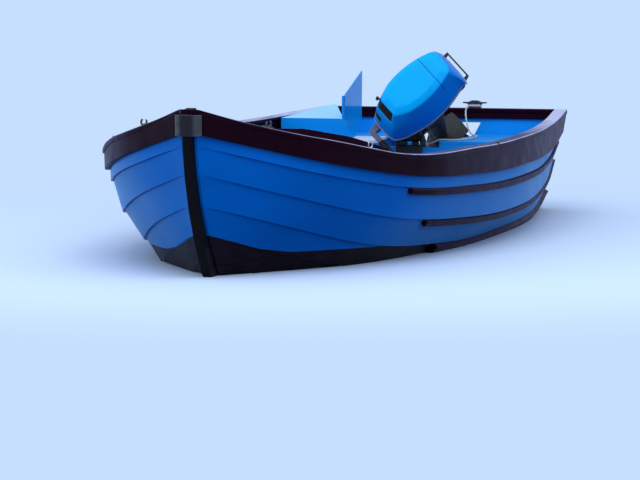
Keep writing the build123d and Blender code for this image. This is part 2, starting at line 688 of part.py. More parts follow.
# Clamp bracket over the bulkhead and the motor board, with the tilt pin and the clamp screws
BOARD_FRONT = WELL_FRONT_S - BULKHEAD - PIVOT_S
CLAMP_NEAR = -BOARD_FRONT + FAY
CLAMP_FAR = -(MOTOR_BOARD + FAY + FAY)
BOARD_RISE = MOTOR_BOARD_TOP - PIVOT_Z + FAY
with BuildPart() as clamp:
    for side in SIDES.values():
        with BuildSketch(Plane(origin=(0, side * CHEEK_AT, 0), x_dir=(1, 0, 0), z_dir=(0, -1, 0))):
            Polygon(
                (CLAMP_NEAR, -170), (CLAMP_NEAR + 18, -170), (CLAMP_NEAR + 18, -20), (14, 16), (-14, 16),
                (CLAMP_FAR - 16, -20), (CLAMP_FAR - 16, -190), (CLAMP_FAR, -190), (CLAMP_FAR, BOARD_RISE),
                (CLAMP_NEAR, BOARD_RISE),
                align=None,
            )
            Circle(PIN + 0.25, mode=Mode.SUBTRACT)
        extrude(amount=-side * CHEEK_THICK)
    with Locations((CLAMP_NEAR + 9, 0, -60)):
        Box(18, 2 * CHEEK_AT + 1, 40)
PIVOT = Location((x_at(PIVOT_S), 0, PIVOT_Z))
write(clamp, "clamp_bracket", PIVOT)

with BuildPart() as tilt_pin:
    with BuildSketch(Plane.XZ):
        Circle(PIN)
    extrude(amount=CHEEK_AT + CHEEK_THICK + 6, both=True)
write(tilt_pin, "tilt_pin", PIVOT)

with BuildPart() as screws:
    for side in SIDES.values():
        with BuildSketch(Plane.YZ.offset(CLAMP_NEAR + 18 + FAY)):
            with Locations((side * (CHEEK_AT + CHEEK_THICK / 2), -130)):
                Circle(10)
        extrude(amount=34)
        with BuildSketch(Plane.YZ.offset(CLAMP_NEAR + 18 + FAY + 30)):
            with Locations((side * (CHEEK_AT + CHEEK_THICK / 2), -130)):
                SlotOverall(70, 14)
        extrude(amount=10)
write(screws, "clamp_screws", PIVOT)

# Swivel bracket on the tilt pin, carrying the steering tube
with BuildPart() as swivel:
    with BuildSketch(Plane.XZ):
        Circle(18)
        with Locations((-STEER_AFT / 2, -8)):
            Rectangle(STEER_AFT, 40)
    extrude(amount=CHEEK_AT - 6, both=True)
    with BuildSketch(Plane.XY.offset(TUBE_FOOT)):
        with Locations((-STEER_AFT, 0)):
            Circle(TUBE)
    extrude(amount=TUBE_TOP - TUBE_FOOT)
    with BuildSketch(Plane.XZ):
        Polygon((-STEER_AFT, -20), (-54, -20), (-STEER_AFT + 12, TUBE_FOOT + 10), (-STEER_AFT, TUBE_FOOT + 10), align=None)
    extrude(amount=8, both=True)
    with BuildSketch(Plane.XY.offset(TUBE_FOOT - 1)):
        with Locations((-STEER_AFT, 0)):
            Circle(SHAFT + 0.3)
    extrude(amount=TUBE_TOP - TUBE_FOOT + 2, mode=Mode.SUBTRACT)
    with BuildSketch(Plane.XZ):
        Circle(PIN + 0.3)
    extrude(amount=100, both=True, mode=Mode.SUBTRACT)
write(swivel, "swivel_bracket", TILTED)

# Leg: steering shaft with its two lugs, and the housing down to the anti-ventilation plate; x from the steering axis
LUG = 22
LEG_FLARE = 2.35
LEG_SECTION = [(-26, 0), (-34, 22), (-60, 27), (-85, 20), (-104, 0), (-85, -20), (-60, -27), (-34, -22)]
with BuildPart() as leg:
    with BuildSketch(Plane.XY.offset(PLATE_Z + PLATE_THICK + FAY)):
        Polygon(*LEG_SECTION, align=None)
    with BuildSketch(Plane.XY.offset(PAN_FOOT - FAY)):
        Polygon(*[(-30 + (x + 26) * LEG_FLARE, y * 1.4) for x, y in LEG_SECTION], align=None)
    loft(ruled=True)
    with BuildSketch(Plane.XY.offset(TUBE_FOOT - LUG - 4)):
        Circle(SHAFT)
    extrude(amount=TUBE_TOP + 2 * LUG + 8 - TUBE_FOOT)
    for foot in (TUBE_TOP + 5, TUBE_FOOT - LUG - 5):
        with BuildSketch(Plane.XY.offset(foot)):
            Circle(24)
            with Locations((-25, 0)):
                Rectangle(50, 48)
        extrude(amount=LUG)
write(leg, "leg", STEERED)

with BuildPart() as gearcase:
    with BuildSketch(Plane.XY.offset(PLATE_Z)):
        Polygon((24, 0), (0, 42), (-60, 72), (-175, 72), (-195, 50), (-195, -50), (-175, -72), (-60, -72), (0, -42), align=None)
    extrude(amount=PLATE_THICK)
    with BuildSketch(Plane.XY.offset(PROP_Z + TORPEDO / 2)):
        Polygon((-6, 0), (-30, 17), (-70, 20), (-118, 0), (-70, -20), (-30, -17), align=None)
    extrude(amount=PLATE_Z - PROP_Z - TORPEDO / 2)
    with BuildSketch(Plane.XZ):
        with BuildLine():
            nose_curve = ThreePointArc((48, PROP_Z), (34, PROP_Z + 24), (0, PROP_Z + TORPEDO))
            tail = Polyline((0, PROP_Z + TORPEDO), (-90, PROP_Z + TORPEDO), (-138, PROP_Z + 27), (-138, PROP_Z), (48, PROP_Z))
        make_face()
    revolve(axis=Axis((0, 0, PROP_Z), (1, 0, 0)), revolution_arc=360)
    with BuildSketch(Plane.XZ):
        Polygon((10, PROP_Z - 10), (-30, SKEG_Z + 12), (-52, SKEG_Z), (-100, SKEG_Z + 4), (-110, PROP_Z - 10), align=None)
    extrude(amount=4, both=True)
write(gearcase, "gearcase", STEERED)

with BuildPart() as propeller:
    with BuildSketch(Plane.YZ.offset(-PROP_AFT - 34)):
        with Locations((0, PROP_Z)):
            Circle(27)
    extrude(amount=60)
    for blade in range(3):
        radial = Location((-PROP_AFT, 0, PROP_Z), (120 * blade, 0, 0)) * Location((0, 0, 0), (0, 0, BLADE_PITCH))
        with BuildSketch(Plane(radial * Location((0, 0, (PROP_RADIUS + 18) / 2), (0, 90, 0)))):
            Ellipse((PROP_RADIUS - 18) / 2, 30)
        extrude(amount=2.5, both=True)
write(propeller, "propeller", STEERED)

# Lower pan, its bright rim, the cowl and the power head under it
COWL_PLANS = [
    [(138, 50), (118, 88), (60, 117), (-45, 140), (-120, 144), (-200, 135), (-300, 108), (-333, 94)],
    [(104, 46), (92, 78), (32, 110), (-58, 131), (-124, 134), (-195, 125), (-288, 101), (-325, 80)],
    [(54, 35), (49, 58), (-14, 93), (-75, 105), (-130, 107), (-190, 102), (-262, 86), (-312, 55)],
    [(18, 20), (14, 38), (-38, 66), (-84, 76), (-130, 78), (-182, 73), (-236, 58), (-272, 34)],
]
COWL_SHARES = [0, 0.45, 0.91, 1]
COWL_MIDDLE = -100


def cowl_outline(level, scale_x=1, scale_y=1):
    """The plan of the cowl at one of its levels, drawn in about its middle."""
    half = [(COWL_MIDDLE + (x - COWL_MIDDLE) * scale_x, y * scale_y) for x, y in COWL_PLANS[level]]
    return half + [(x, -y) for x, y in reversed(half)]


PAN_LEVELS = ((PAN_FOOT, 0.78), (PAN_FOOT + 40, 0.93), (PAN_TOP - 0.5, 0.96))
with BuildPart() as pan:
    for z, scale in PAN_LEVELS:
        with BuildSketch(Plane.XY.offset(z)):
            Polygon(*cowl_outline(0, scale, scale), align=None)
    loft(ruled=True)
write(pan, "lower_pan", STEERED)

RIM_Z = PAN_TOP
with BuildPart() as rim:
    with BuildSketch(Plane.XY.offset(RIM_Z)):
        Polygon(*cowl_outline(0), align=None)
    extrude(amount=RIM_THICK)
write(rim, "cowl_rim", STEERED)

COWL_FOOT = RIM_Z + RIM_THICK + FAY
with BuildPart() as cowl:
    for level, share in enumerate(COWL_SHARES):
        with BuildSketch(Plane.XY.offset(COWL_FOOT + share * COWL_HEIGHT)):
            Polygon(*cowl_outline(level, 0.985, 0.985), align=None)
    loft(ruled=True)
    for level, share in enumerate(COWL_SHARES):
        foot = COWL_FOOT + share * (COWL_HEIGHT - COWL_WALL) - (1 if level == 0 else 0)
        with BuildSketch(Plane.XY.offset(foot)):
            Polygon(*cowl_outline(level, 0.96, 0.94), align=None)
    loft(ruled=True, mode=Mode.SUBTRACT)
write(cowl, "cowl", STEERED)

with BuildPart() as engine:
    with Locations((-100, 0, RIM_Z + RIM_THICK + FAY)):
        Box(260, 130, 130, align=(Align.CENTER, Align.CENTER, Align.MIN))
write(engine, "engine_block", STEERED)

# Steering handle folded across the front of the pan, and the catch at the back of the cowl
ARM_Z = 116
ARM_SIZE = 28
ARM_REACH = 194
with BuildPart() as arm:
    with BuildSketch(Plane.XY.offset(ARM_Z - ARM_SIZE / 2)):
        Polygon(
            (60, -74), (60, -34), (ARM_REACH - 28, -38), (ARM_REACH - 28, 16), (ARM_REACH, 16), (ARM_REACH, -66),
            (150, -74),
            align=None,
        )
    extrude(amount=ARM_SIZE)
    with BuildPart(mode=Mode.PRIVATE) as arm_room:
        for z, scale in PAN_LEVELS:
            with BuildSketch(Plane.XY.offset(z)):
                Polygon(*cowl_outline(0, scale + 0.003, scale + 0.003), align=None)
        loft(ruled=True)
    add(arm_room.part, mode=Mode.SUBTRACT)
write(arm, "steering_arm", STEERED)

with BuildPart() as grip:
    with BuildSketch(Plane.XZ.offset(-16 - FAY)):
        with Locations((ARM_REACH - 14, ARM_Z)):
            Circle(GRIP)
    extrude(amount=-115)
write(grip, "steering_grip", STEERED)

CATCH_HALF = 84
CATCH_REACH = 26
with BuildPart() as catch:
    for side in SIDES.values():
        with BuildSketch(Plane.XZ.offset(-side * CATCH_HALF)):
            Polygon(
                (-333 - FAY, RIM_Z + 6), (-333 - FAY, RIM_Z - 26), (-333 - CATCH_REACH, RIM_Z - 2),
                (-333 - CATCH_REACH, RIM_Z + 6),
                align=None,
            )
        extrude(amount=side * 9)
    with BuildSketch(Plane.XZ):
        with Locations((-333 - CATCH_REACH + 4, RIM_Z + 2)):
            Circle(4)
    extrude(amount=CATCH_HALF, both=True)
write(catch, "cowl_catch", STEERED)
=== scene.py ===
# %% [markdown]
# # A clinker-planked open boat with a parked outboard motor
# This notebook dresses a finished CAD model of the boat. The CAD pieces are loaded as a fixed frame, with
# metres for units: x runs forward to the bow, y to port and z up from the waterline. We build the visible
# surfaces on it, one real piece at a time, and every new piece rides on the body of the boat or motor that
# it belongs to.

# %% Load the frame
import bpy
import bmesh
import math
from mathutils import Matrix, Vector


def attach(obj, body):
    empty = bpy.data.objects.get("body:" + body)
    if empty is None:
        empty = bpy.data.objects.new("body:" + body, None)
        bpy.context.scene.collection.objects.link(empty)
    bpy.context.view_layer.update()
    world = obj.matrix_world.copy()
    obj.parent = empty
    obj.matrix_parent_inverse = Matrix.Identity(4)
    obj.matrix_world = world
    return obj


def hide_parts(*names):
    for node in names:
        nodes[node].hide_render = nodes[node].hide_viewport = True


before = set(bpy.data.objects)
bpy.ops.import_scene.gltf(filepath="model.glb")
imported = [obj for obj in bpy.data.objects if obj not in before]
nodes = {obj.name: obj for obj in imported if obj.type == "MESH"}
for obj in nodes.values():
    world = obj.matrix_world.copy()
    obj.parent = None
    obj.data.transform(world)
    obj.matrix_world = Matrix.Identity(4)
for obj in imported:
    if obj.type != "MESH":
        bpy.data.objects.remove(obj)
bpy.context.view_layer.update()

# %% [markdown]
# The photograph was taken from far ahead of the boat and a little to port, with a long lens, so the boat
# shows hardly any perspective. A camera is three facts: where it stands, where it looks and how long its
# lens is. They were worked out from the boat's own lines, so each can be written down as a plain number.

# %% Camera
CAMERA_PLACE = (17.751, 5.020, 1.601)
HEADING_X, HEADING_Y = -0.9615, -0.2748
PITCH = math.radians(-4.97)
scene = bpy.context.scene
camera_data = bpy.data.cameras.new("long_lens")
camera_data.lens = 225
camera_data.sensor_width = 36
camera_data.clip_end = 200
camera = bpy.data.objects.new("camera", camera_data)
scene.collection.objects.link(camera)
scene.camera = camera
camera.location = CAMERA_PLACE
look = Vector((HEADING_X * math.cos(PITCH), HEADING_Y * math.cos(PITCH), math.sin(PITCH)))
camera.rotation_mode = "QUATERNION"
camera.rotation_quaternion = look.to_track_quat("-Z", "Y")
print("camera", round(camera.location.length, 2), "m from amidships")

# %% [markdown]
# Colours are easiest to note the way a paint chart or a picture editor gives them, from 0 to 255, but a
# shader wants linear light. One helper turns the first into the second, so that every recipe below stays
# readable.

# %% Colour helper
def linear(red, green, blue):
    """A colour noted as 0 to 255 screen values, as the linear RGBA that a shader wants."""
    def channel(value):
        value = value / 255
        return value / 12.92 if value <= 0.04045 else ((value + 0.055) / 1.055) ** 2.4
    return (channel(red), channel(green), channel(blue), 1)


print("mid grey becomes", round(linear(128, 128, 128)[0], 3))

# %% [markdown]
# Every finish on the boat is a shader with three layers of truth: a colour that drifts a little from place
# to place, a gloss that is not quite even, and a fine relief. The helpers below build that from noise in
# the object's own coordinates, so nothing depends on where the camera stands.

# %% A finish with drifting colour, uneven gloss and fine relief
def add_node(tree, kind, inputs={}, **settings):
    """A shader node; each of its inputs is a number, a colour or another node's output."""
    node = tree.nodes.new(kind)
    for name, value in settings.items():
        setattr(node, name, value)
    for name, value in inputs.items():
        if isinstance(value, bpy.types.NodeSocket):
            tree.links.new(value, node.inputs[name])
        else:
            node.inputs[name].default_value = value
    return node


def noise(tree, scale, detail=3, stretch=(1, 1, 1)):
    """Noise in the object's coordinates, stretched along its axes."""
    place = add_node(tree, "ShaderNodeTexCoord").outputs["Object"]
    place = add_node(tree, "ShaderNodeMapping", {"Vector": place, "Scale": stretch}).outputs["Vector"]
    grain = add_node(tree, "ShaderNodeTexNoise", {"Vector": place, "Scale": scale, "Detail": detail})
    return grain.outputs["Fac"]


def ramp(tree, value, low, high, to_low=0, to_high=1):
    """Maps a value's range low..high to another range."""
    limits = {"From Min": low, "From Max": high, "To Min": to_low, "To Max": to_high}
    return add_node(tree, "ShaderNodeMapRange", {"Value": value, **limits}).outputs["Result"]


def join(tree, operation, first, second=0):
    """One value from two by a sum such as ADD or MULTIPLY, or from one by FRACT or ABSOLUTE."""
    return add_node(tree, "ShaderNodeMath", {0: first, 1: second}, operation=operation).outputs["Value"]


def mix(tree, factor, first, second):
    """A colour between two, which are given as 0 to 255 values or as another node's output."""
    # this node takes its factor at socket 0 and its colours at 6 and 7, and gives the mixed colour at 2
    first, second = (linear(*colour) if isinstance(colour, tuple) else colour for colour in (first, second))
    return add_node(tree, "ShaderNodeMix", {0: factor, 6: first, 7: second}, data_type="RGBA").outputs[2]


def recolour(material, factor, colour):
    """Lays another colour over a finish where a factor says so."""
    tree = material.node_tree
    base = tree.nodes["Principled BSDF"].inputs["Base Color"]
    tree.links.new(mix(tree, factor, base.links[0].from_socket, colour), base)
    return material


def finish(name, colour, second, rough=(0.3, 0.45), scale=6, stretch=(1, 1, 1), relief=0, relief_scale=300,
           **shader):
    """A material whose colour drifts between two, with uneven gloss and a fine relief."""
    material = bpy.data.materials.new(name)
    material.use_nodes = True
    tree = material.node_tree
    surface = tree.nodes["Principled BSDF"]
    drift = ramp(tree, noise(tree, scale, stretch=stretch), 0.3, 0.7)
    tree.links.new(mix(tree, drift, colour, second), surface.inputs["Base Color"])
    tree.links.new(ramp(tree, noise(tree, scale * 3.1), 0.3, 0.7, *rough), surface.inputs["Roughness"])
    if relief:
        bump = add_node(tree, "ShaderNodeBump", {"Strength": 0.5, "Distance": relief,
                                                 "Height": noise(tree, relief_scale, 2, stretch)})
        tree.links.new(bump.outputs["Normal"], surface.inputs["Normal"])
    for socket, value in shader.items():
        surface.inputs[socket.replace("_", " ")].default_value = value
    return material


print("finish helpers:", ", ".join(helper.__name__ for helper in (noise, ramp, join, mix, recolour, finish)))

# %% [markdown]
# A safety line keeps the motor from going overboard if its clamp works loose: a thin laid rope from the
# cleat on the transom, down over the deck's edge, along the deck and up to the clamp. A rope is a curve
# with a round bevel. Its route is a few points that a smooth spline only approaches, as a limp rope does,
# and three strands wind round it in its finish.

# %% Laid rope
def component(tree, axis, vector="Object"):
    """A place along one axis of the object or its UV map, or how far the Normal points along the axis."""
    kind = "ShaderNodeNewGeometry" if vector == "Normal" else "ShaderNodeTexCoord"
    vector = add_node(tree, kind).outputs[vector]
    return add_node(tree, "ShaderNodeSeparateXYZ", {"Vector": vector}).outputs[axis]


def laid_rope(name, turns):
    """A pale three-strand finish for a curve that its strands wind round so many times, with painted shade
    between them.
    """
    material = finish(name, (196, 206, 214), (168, 178, 188), rough=(0.75, 0.9), scale=60, relief=0.0004,
                      relief_scale=900, Sheen_Weight=0.2)
    tree = material.node_tree
    wound = join(tree, "ADD", join(tree, "MULTIPLY", component(tree, "X", "UV"), turns * 3),
                 join(tree, "MULTIPLY", component(tree, "Y", "UV"), 3))
    lay = join(tree, "ABSOLUTE", join(tree, "SUBTRACT", join(tree, "FRACT", wound), 0.5))
    normal = tree.nodes["Principled BSDF"].inputs["Normal"]
    strands = add_node(tree, "ShaderNodeBump", {"Distance": 0.002, "Height": lay,
                                                "Normal": normal.links[0].from_socket}, invert=True)
    tree.links.new(strands.outputs["Normal"], normal)
    # painted shade: a darker grey in the grooves between the strands
    return recolour(material, ramp(tree, lay, 0.38, 0.5, 0, 0.75), (96, 104, 116))


ROPE_RADIUS = 0.004
ON_DECK = 0.3764
ROPE_ROUTE = [
    (-2.1145, 0.149, 0.5115), (-2.100, 0.141, 0.515), (-2.080, 0.134, 0.511), (-2.064, 0.131, 0.496),
    (-2.050, 0.133, 0.478), (-2.022, 0.142, 0.459), (-1.994, 0.151, 0.443), (-1.968, 0.162, 0.422),
    (-1.946, 0.175, 0.400), (-1.922, 0.191, 0.384), (-1.888, 0.212, 0.377), (-1.845, 0.236, ON_DECK),
    (-1.792, 0.254, ON_DECK), (-1.730, 0.264, ON_DECK), (-1.664, 0.269, ON_DECK), (-1.602, 0.266, ON_DECK),
    (-1.550, 0.254, ON_DECK), (-1.510, 0.231, ON_DECK), (-1.484, 0.203, ON_DECK), (-1.470, 0.174, 0.3775),
    (-1.465, 0.144, 0.378), (-1.466, 0.118, 0.366), (-1.468, 0.094, 0.355), (-1.470, 0.0681, 0.350),
]


def rope_curve(name, route, closed=False):
    """A round rope along a smooth spline that a list of points guides."""
    data = bpy.data.curves.new(name, "CURVE")
    data.dimensions = "3D"
    data.bevel_depth = 1
    data.bevel_resolution = 4
    data.use_fill_caps = True
    data.resolution_u = 8
    spline = data.splines.new("NURBS")
    spline.points.add(len(route) - 1)
    for point, place in zip(spline.points, route):
        point.co = (*place, 1)
        point.radius = ROPE_RADIUS
    spline.order_u = 3
    spline.use_cyclic_u = closed
    spline.use_endpoint_u = not closed
    piece = bpy.data.objects.new(name, data)
    scene.collection.objects.link(piece)
    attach(piece, "hull")
    return piece


safety_line = rope_curve("safety_line", ROPE_ROUTE)
safety_line.data.materials.append(laid_rope("laid_rope", 30))
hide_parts("motor_safety_line")
print("rope guided by", len(ROPE_ROUTE), "points")

# %% [markdown]
# Neither end is cut off. At the cleat the rope takes two turns round the waist under the horns, and at the
# clamp it ends in a stopper knot. The turns are a flat winding, and the knot is the overhand knot of the
# textbooks, whose centreline is a trefoil: three lobes that pass over and under one another.

# %% Turns on the cleat and the knot at the clamp
CLEAT = Vector((-2.126, 0.163, 0.501))
KNOT = Vector((-1.4695, 0.0785, 0.3515))
LOBE = 0.0036
winding = []
for k in range(17):
    angle = math.radians(45 * k - 60)
    winding.append(CLEAT + Vector((0.0150 * math.cos(angle), 0.036 * math.sin(angle), 0.0095 + 0.0005 * k)))
trefoil = []
for k in range(18):
    angle = math.radians(20 * k)
    across = LOBE * (math.sin(angle) + 2 * math.sin(2 * angle))
    up = LOBE * (math.cos(angle) - 2 * math.cos(2 * angle))
    trefoil.append(KNOT + Vector((across, -0.0052 * math.sin(3 * angle), up)))
cleat_turns = rope_curve("cleat_turns", winding)
stopper_knot = rope_curve("stopper_knot", trefoil, closed=True)
for piece, turns in ((cleat_turns, 9), (stopper_knot, 4)):
    piece.data.materials.append(laid_rope(f"{piece.name}_finish", turns))
print("knots:", cleat_turns.name, stopper_knot.name)

# %% [markdown]
# The topsides are gloss blue down to a painted line just above the water, and dark brown below it. A
# painter masks that line by height, and so does the shader: it compares the height of each point with the
# line, which lifts towards the stem. The planks above the line need only the blue, and those below it only
# the brown. Where the paint is seen edge-on, a painted reflection of the pale sky lightens it.

# %% Hull paint, blue above the boot line and brown below
def painted_sheen(material, colour, most, low=0.45, high=0.95):
    """Lays a painted reflection of the pale sky over a finish where it is seen edge-on."""
    edge_on = add_node(material.node_tree, "ShaderNodeLayerWeight").outputs["Facing"]
    return recolour(material, ramp(material.node_tree, edge_on, low, high, 0, most), colour)


def hull_blue(name):
    """Topside enamel, brushed on lengthways, with a painted sky reflection where it is seen edge-on."""
    enamel = finish(name, (0, 108, 214), (0, 98, 200), rough=(0.32, 0.42), scale=1.4, stretch=(1, 1, 3),
                    relief=0.00012, relief_scale=160, IOR=1.1)
    # painted reflection of the sky where the topsides are seen edge-on
    return painted_sheen(enamel, (74, 158, 236), 0.75)


def below_line(material, everywhere=False):
    """Adds the brown bottom paint below the painted line, or everywhere, with a dusty drift."""
    tree = material.node_tree
    dust = mix(tree, ramp(tree, noise(tree, 9, 5, (1, 1, 4)), 0.35, 0.7), (20, 15, 27), (34, 27, 40))
    along_boat = component(tree, "X")
    line = join(tree, "ADD", ramp(tree, along_boat, 0.95, 1.60, 0.070, 0.087),
                ramp(tree, along_boat, 1.60, 1.85, 0, 0.038))
    depth = join(tree, "SUBTRACT", join(tree, "ADD", line, 5 if everywhere else 0), component(tree, "Z"))
    return recolour(material, ramp(tree, depth, -0.001, 0.001), dust)


topside_paint = hull_blue("topside_paint")
two_paints = below_line(hull_blue("two_paints"))
bottom_paint = below_line(hull_blue("bottom_paint"), everywhere=True)
inside_paint = finish("inside_paint", (10, 146, 240), (6, 136, 230), scale=3, relief=0.0002, relief_scale=120,
                      IOR=1.15)
print("hull paints:", topside_paint.name, two_paints.name, bottom_paint.name, inside_paint.name)

# %% [markdown]
# The gunwale and all the rubbing strips are painted a maroon so dark that it is nearly black. Along its
# edges a paler colour comes in, partly wear and partly a painted highlight, and where it is seen edge-on a
# painted sky sheen pales it. An edge mask is found with the shader's own bevel: where a rounded copy of the
# normal leaves the true one, there is an edge. Noise breaks that edge up, so that the paler colour comes in
# patches.

# %% Maroon paint with pale edges and a painted sheen
def pale_edges(material, edge_colour, radius=0.003, least=0.45):
    """Mixes a paler colour into a material along its edges, in patches."""
    tree = material.node_tree
    rounded = add_node(tree, "ShaderNodeBevel", {"Radius": radius}).outputs["Normal"]
    flat = add_node(tree, "ShaderNodeNewGeometry").outputs["Normal"]
    same = add_node(tree, "ShaderNodeVectorMath", {0: rounded, 1: flat}, operation="DOT_PRODUCT")
    edge = ramp(tree, same.outputs["Value"], 0.98, 0.84)
    patches = ramp(tree, noise(tree, 14, 6), least, least + 0.2)
    return recolour(material, join(tree, "MULTIPLY", edge, patches), edge_colour)


def maroon_paint(name, edge_colour, least=0.5):
    """Dark maroon enamel with a painted sky sheen where seen edge-on, and a paler colour along its edges."""
    paint = finish(name, (32, 4, 22), (20, 2, 16), rough=(0.4, 0.55), scale=4, stretch=(0.4, 1, 1),
                   relief=0.0002, relief_scale=120, IOR=1.1)
    # painted sky sheen where the maroon is seen edge-on; the pale edges are partly wear, partly painted
    # highlight
    return pale_edges(painted_sheen(paint, (92, 84, 124), 0.6, 0.55, 1.0), edge_colour, 0.003, least)


maroon = maroon_paint("maroon_paint", (96, 84, 112))
steel = pale_edges(finish("galvanised_steel", (74, 76, 84), (56, 57, 64), rough=(0.42, 0.62), scale=22,
                          relief=0.0003, relief_scale=160, Metallic=0.7), (150, 152, 160), 0.0025, 0.4)
band_black = pale_edges(finish("black_band", (7, 7, 10), (13, 13, 17), rough=(0.4, 0.55), scale=12,
                               relief=0.0002, IOR=1.15), (52, 54, 60), 0.002)
bright_metal = finish("bright_metal", (196, 200, 206), (160, 162, 168), rough=(0.16, 0.34), scale=18,
                      Metallic=1)
print("worn finishes:", maroon.name, steel.name, band_black.name)

# %% [markdown]
# The cap gets a painted highlight, a pale line along its rounded top edges, and a painted reflection of the
# sky that pales its top towards the stern. A mask can be a product of simple ones: here how far a face looks
# up, how far aft it lies, and noise.

# %% The cap's maroon, with a painted edge highlight and a painted reflection aft
def faces_up(tree, low=0.6, high=0.75):
    """One where a surface looks up."""
    return ramp(tree, component(tree, "Z", "Normal"), low, high)


def along(tree, axis, low, high):
    """One at one end of a range along an axis of the object, nought at the other."""
    return ramp(tree, component(tree, axis), low, high)


def product(tree, *factors):
    """Several masks multiplied."""
    found = factors[0]
    for factor in factors[1:]:
        found = join(tree, "MULTIPLY", found, factor)
    return found


# the cap's pale edges are a painted highlight
cap_paint = maroon_paint("cap_paint", (150, 150, 190), 0.28)
cap_tree = cap_paint.node_tree
# painted highlight along the rounded top edges
painted_edge_highlight = product(cap_tree, faces_up(cap_tree, 0.30, 0.45), faces_up(cap_tree, 0.985, 0.95),
                  along(cap_tree, "X", 2.15, 1.5), ramp(cap_tree, noise(cap_tree, 5, 4), 0.3, 0.5, 0.45, 1))
recolour(cap_paint, painted_edge_highlight, (168, 174, 218))
# painted sky reflection on the top, growing towards the stern
painted_top_reflection = product(cap_tree, faces_up(cap_tree), along(cap_tree, "X", -0.4, -1.5),
                   ramp(cap_tree, noise(cap_tree, 9, 5, (0.4, 2, 1)), 0.3, 0.5, 0.35, 1))
recolour(cap_paint, painted_top_reflection, (186, 190, 226))
print("cap paint:", len(cap_tree.nodes), "nodes")

# %% [markdown]
# The motor has its own finishes: the cowl's gloss blue, with a painted shade that deepens its sides against
# its top, a satin black casting paint on the leg and bracket, a plain black moulded plastic, and a grey rim
# between cowl and pan. The decks are a smoother paint, nearly white on the starboard side of the well, and
# the locker's top gets a painted sky reflection that makes it pale.

# %% Motor and deck finishes
COWL_TOP_WAY = (0.94, 0, 0.342)
cowl_blue = finish("cowl_gloss", (8, 180, 255), (4, 170, 252), rough=(0.3, 0.4), scale=4, relief=0.0001,
                   relief_scale=160, IOR=1.15)
cowl_tree = cowl_blue.node_tree
cowl_normal = add_node(cowl_tree, "ShaderNodeTexCoord").outputs["Normal"]
cowl_up = add_node(cowl_tree, "ShaderNodeVectorMath", {0: cowl_normal, 1: COWL_TOP_WAY},
                   operation="DOT_PRODUCT")
# painted shade: the cowl's sides, turned away from its top, are darkened
recolour(cowl_blue, ramp(cowl_tree, cowl_up.outputs["Value"], 0.62, 0.30, 0, 0.8), (2, 104, 214))
casting_black = pale_edges(finish("casting_black", (14, 15, 19), (26, 27, 33), rough=(0.4, 0.62), scale=30,
                                  relief=0.0005, relief_scale=260), (96, 98, 108), 0.002, 0.5)
moulded_black = finish("moulded_black", (12, 13, 16), (20, 21, 26), rough=(0.5, 0.65), scale=40,
                       relief=0.0003, relief_scale=500)
recess_black = finish("recess_black", (4, 4, 6), (9, 9, 12), rough=(0.7, 0.85), scale=40, relief=0.0002)
rim_grey = finish("rim_grey", (126, 150, 200), (108, 132, 184), scale=20)
deck_paint = finish("deck_paint", (22, 150, 238), (14, 138, 228), scale=5, relief=0.0003, relief_scale=240,
                    IOR=1.15)
deck_tree = deck_paint.node_tree
white = product(deck_tree, along(deck_tree, "Y", -0.10, -0.13), along(deck_tree, "X", -1.76, -1.70))
recolour(deck_paint, white, (222, 234, 250))
sole_paint = finish("sole_paint", (92, 116, 142), (66, 88, 116), rough=(0.55, 0.8), scale=7,
                    stretch=(0.4, 3, 1), relief=0.0008, relief_scale=160)
bare_casting = finish("bare_casting", (120, 122, 124), (96, 98, 100), rough=(0.5, 0.7), scale=30,
                      relief=0.0006, Metallic=0.9)
tinted_sheet = finish("blue_sheet", (6, 168, 255), (2, 154, 250), rough=(0.1, 0.2), scale=3, Alpha=0.7,
                      IOR=1.08)
locker_paint = inside_paint.copy()
locker_paint.name = "locker_paint"
# painted sky reflection: the locker's top is paled
recolour(locker_paint, faces_up(locker_paint.node_tree), (150, 214, 252))
print("materials so far:", len(bpy.data.materials))

# %% [markdown]
# Some CAD pieces already have the right shape and only lack the small roundings that catch the light.
# Modifiers can add those without touching the mesh: a weld joins the split corners, a bevel rounds the
# edges, and weighted normals keep the flats flat.

# %% Dress a CAD node as it stands
def round_off(piece, width, segments=2):
    """Smooth shading, with a bevel on the edges that turn by more than a third of a right angle."""
    piece.data.polygons.foreach_set("use_smooth", [True] * len(piece.data.polygons))
    if width:
        bevel = piece.modifiers.new("rounding", "BEVEL")
        bevel.width = width
        bevel.segments = segments
        bevel.limit_method = "ANGLE"
        bevel.angle_limit = math.radians(32)
    piece.modifiers.new("normals", "WEIGHTED_NORMAL").keep_sharp = True


def dress(name, material, edge=0.0015):
    """Gives a CAD node a finish, rounded edges and smooth shading."""
    piece = nodes[name]
    piece.data.materials.clear()
    piece.data.materials.append(material)
    if piece.data.has_custom_normals:
        piece.data.attributes.remove(piece.data.attributes["custom_normal"])
    piece.modifiers.new("weld", "WELD").merge_threshold = 0.00002
    round_off(piece, edge)


for name in ("transom", "aft_bulkhead", "well_sides", "foredeck", "floor_timbers", "risers"):
    dress(name, inside_paint, 0.002)
dress("quarter_locker", locker_paint, 0.002)
for name in ("transom_cap", "transom_inner_board", "thwarts", "motor_board"):
    dress(name, maroon, 0.003)
for name, material in {"keel": two_paints, "stem": two_paints, "aft_decks": deck_paint, "sole": sole_paint,
                       "stem_band": band_black, "stern_cleat": steel}.items():
    dress(name, material)
print("dressed hull nodes as they stand")

# %% [markdown]
# The planking is the soul of a clinker boat: thin planks that each overlap the one below, so a row of long
# fair shadows runs from stem to stern. The lines of those laps are a small table: where each line leaves
# the stem and its half-breadth and height at six stations. A cubic through the table gives as many sections
# as we like.

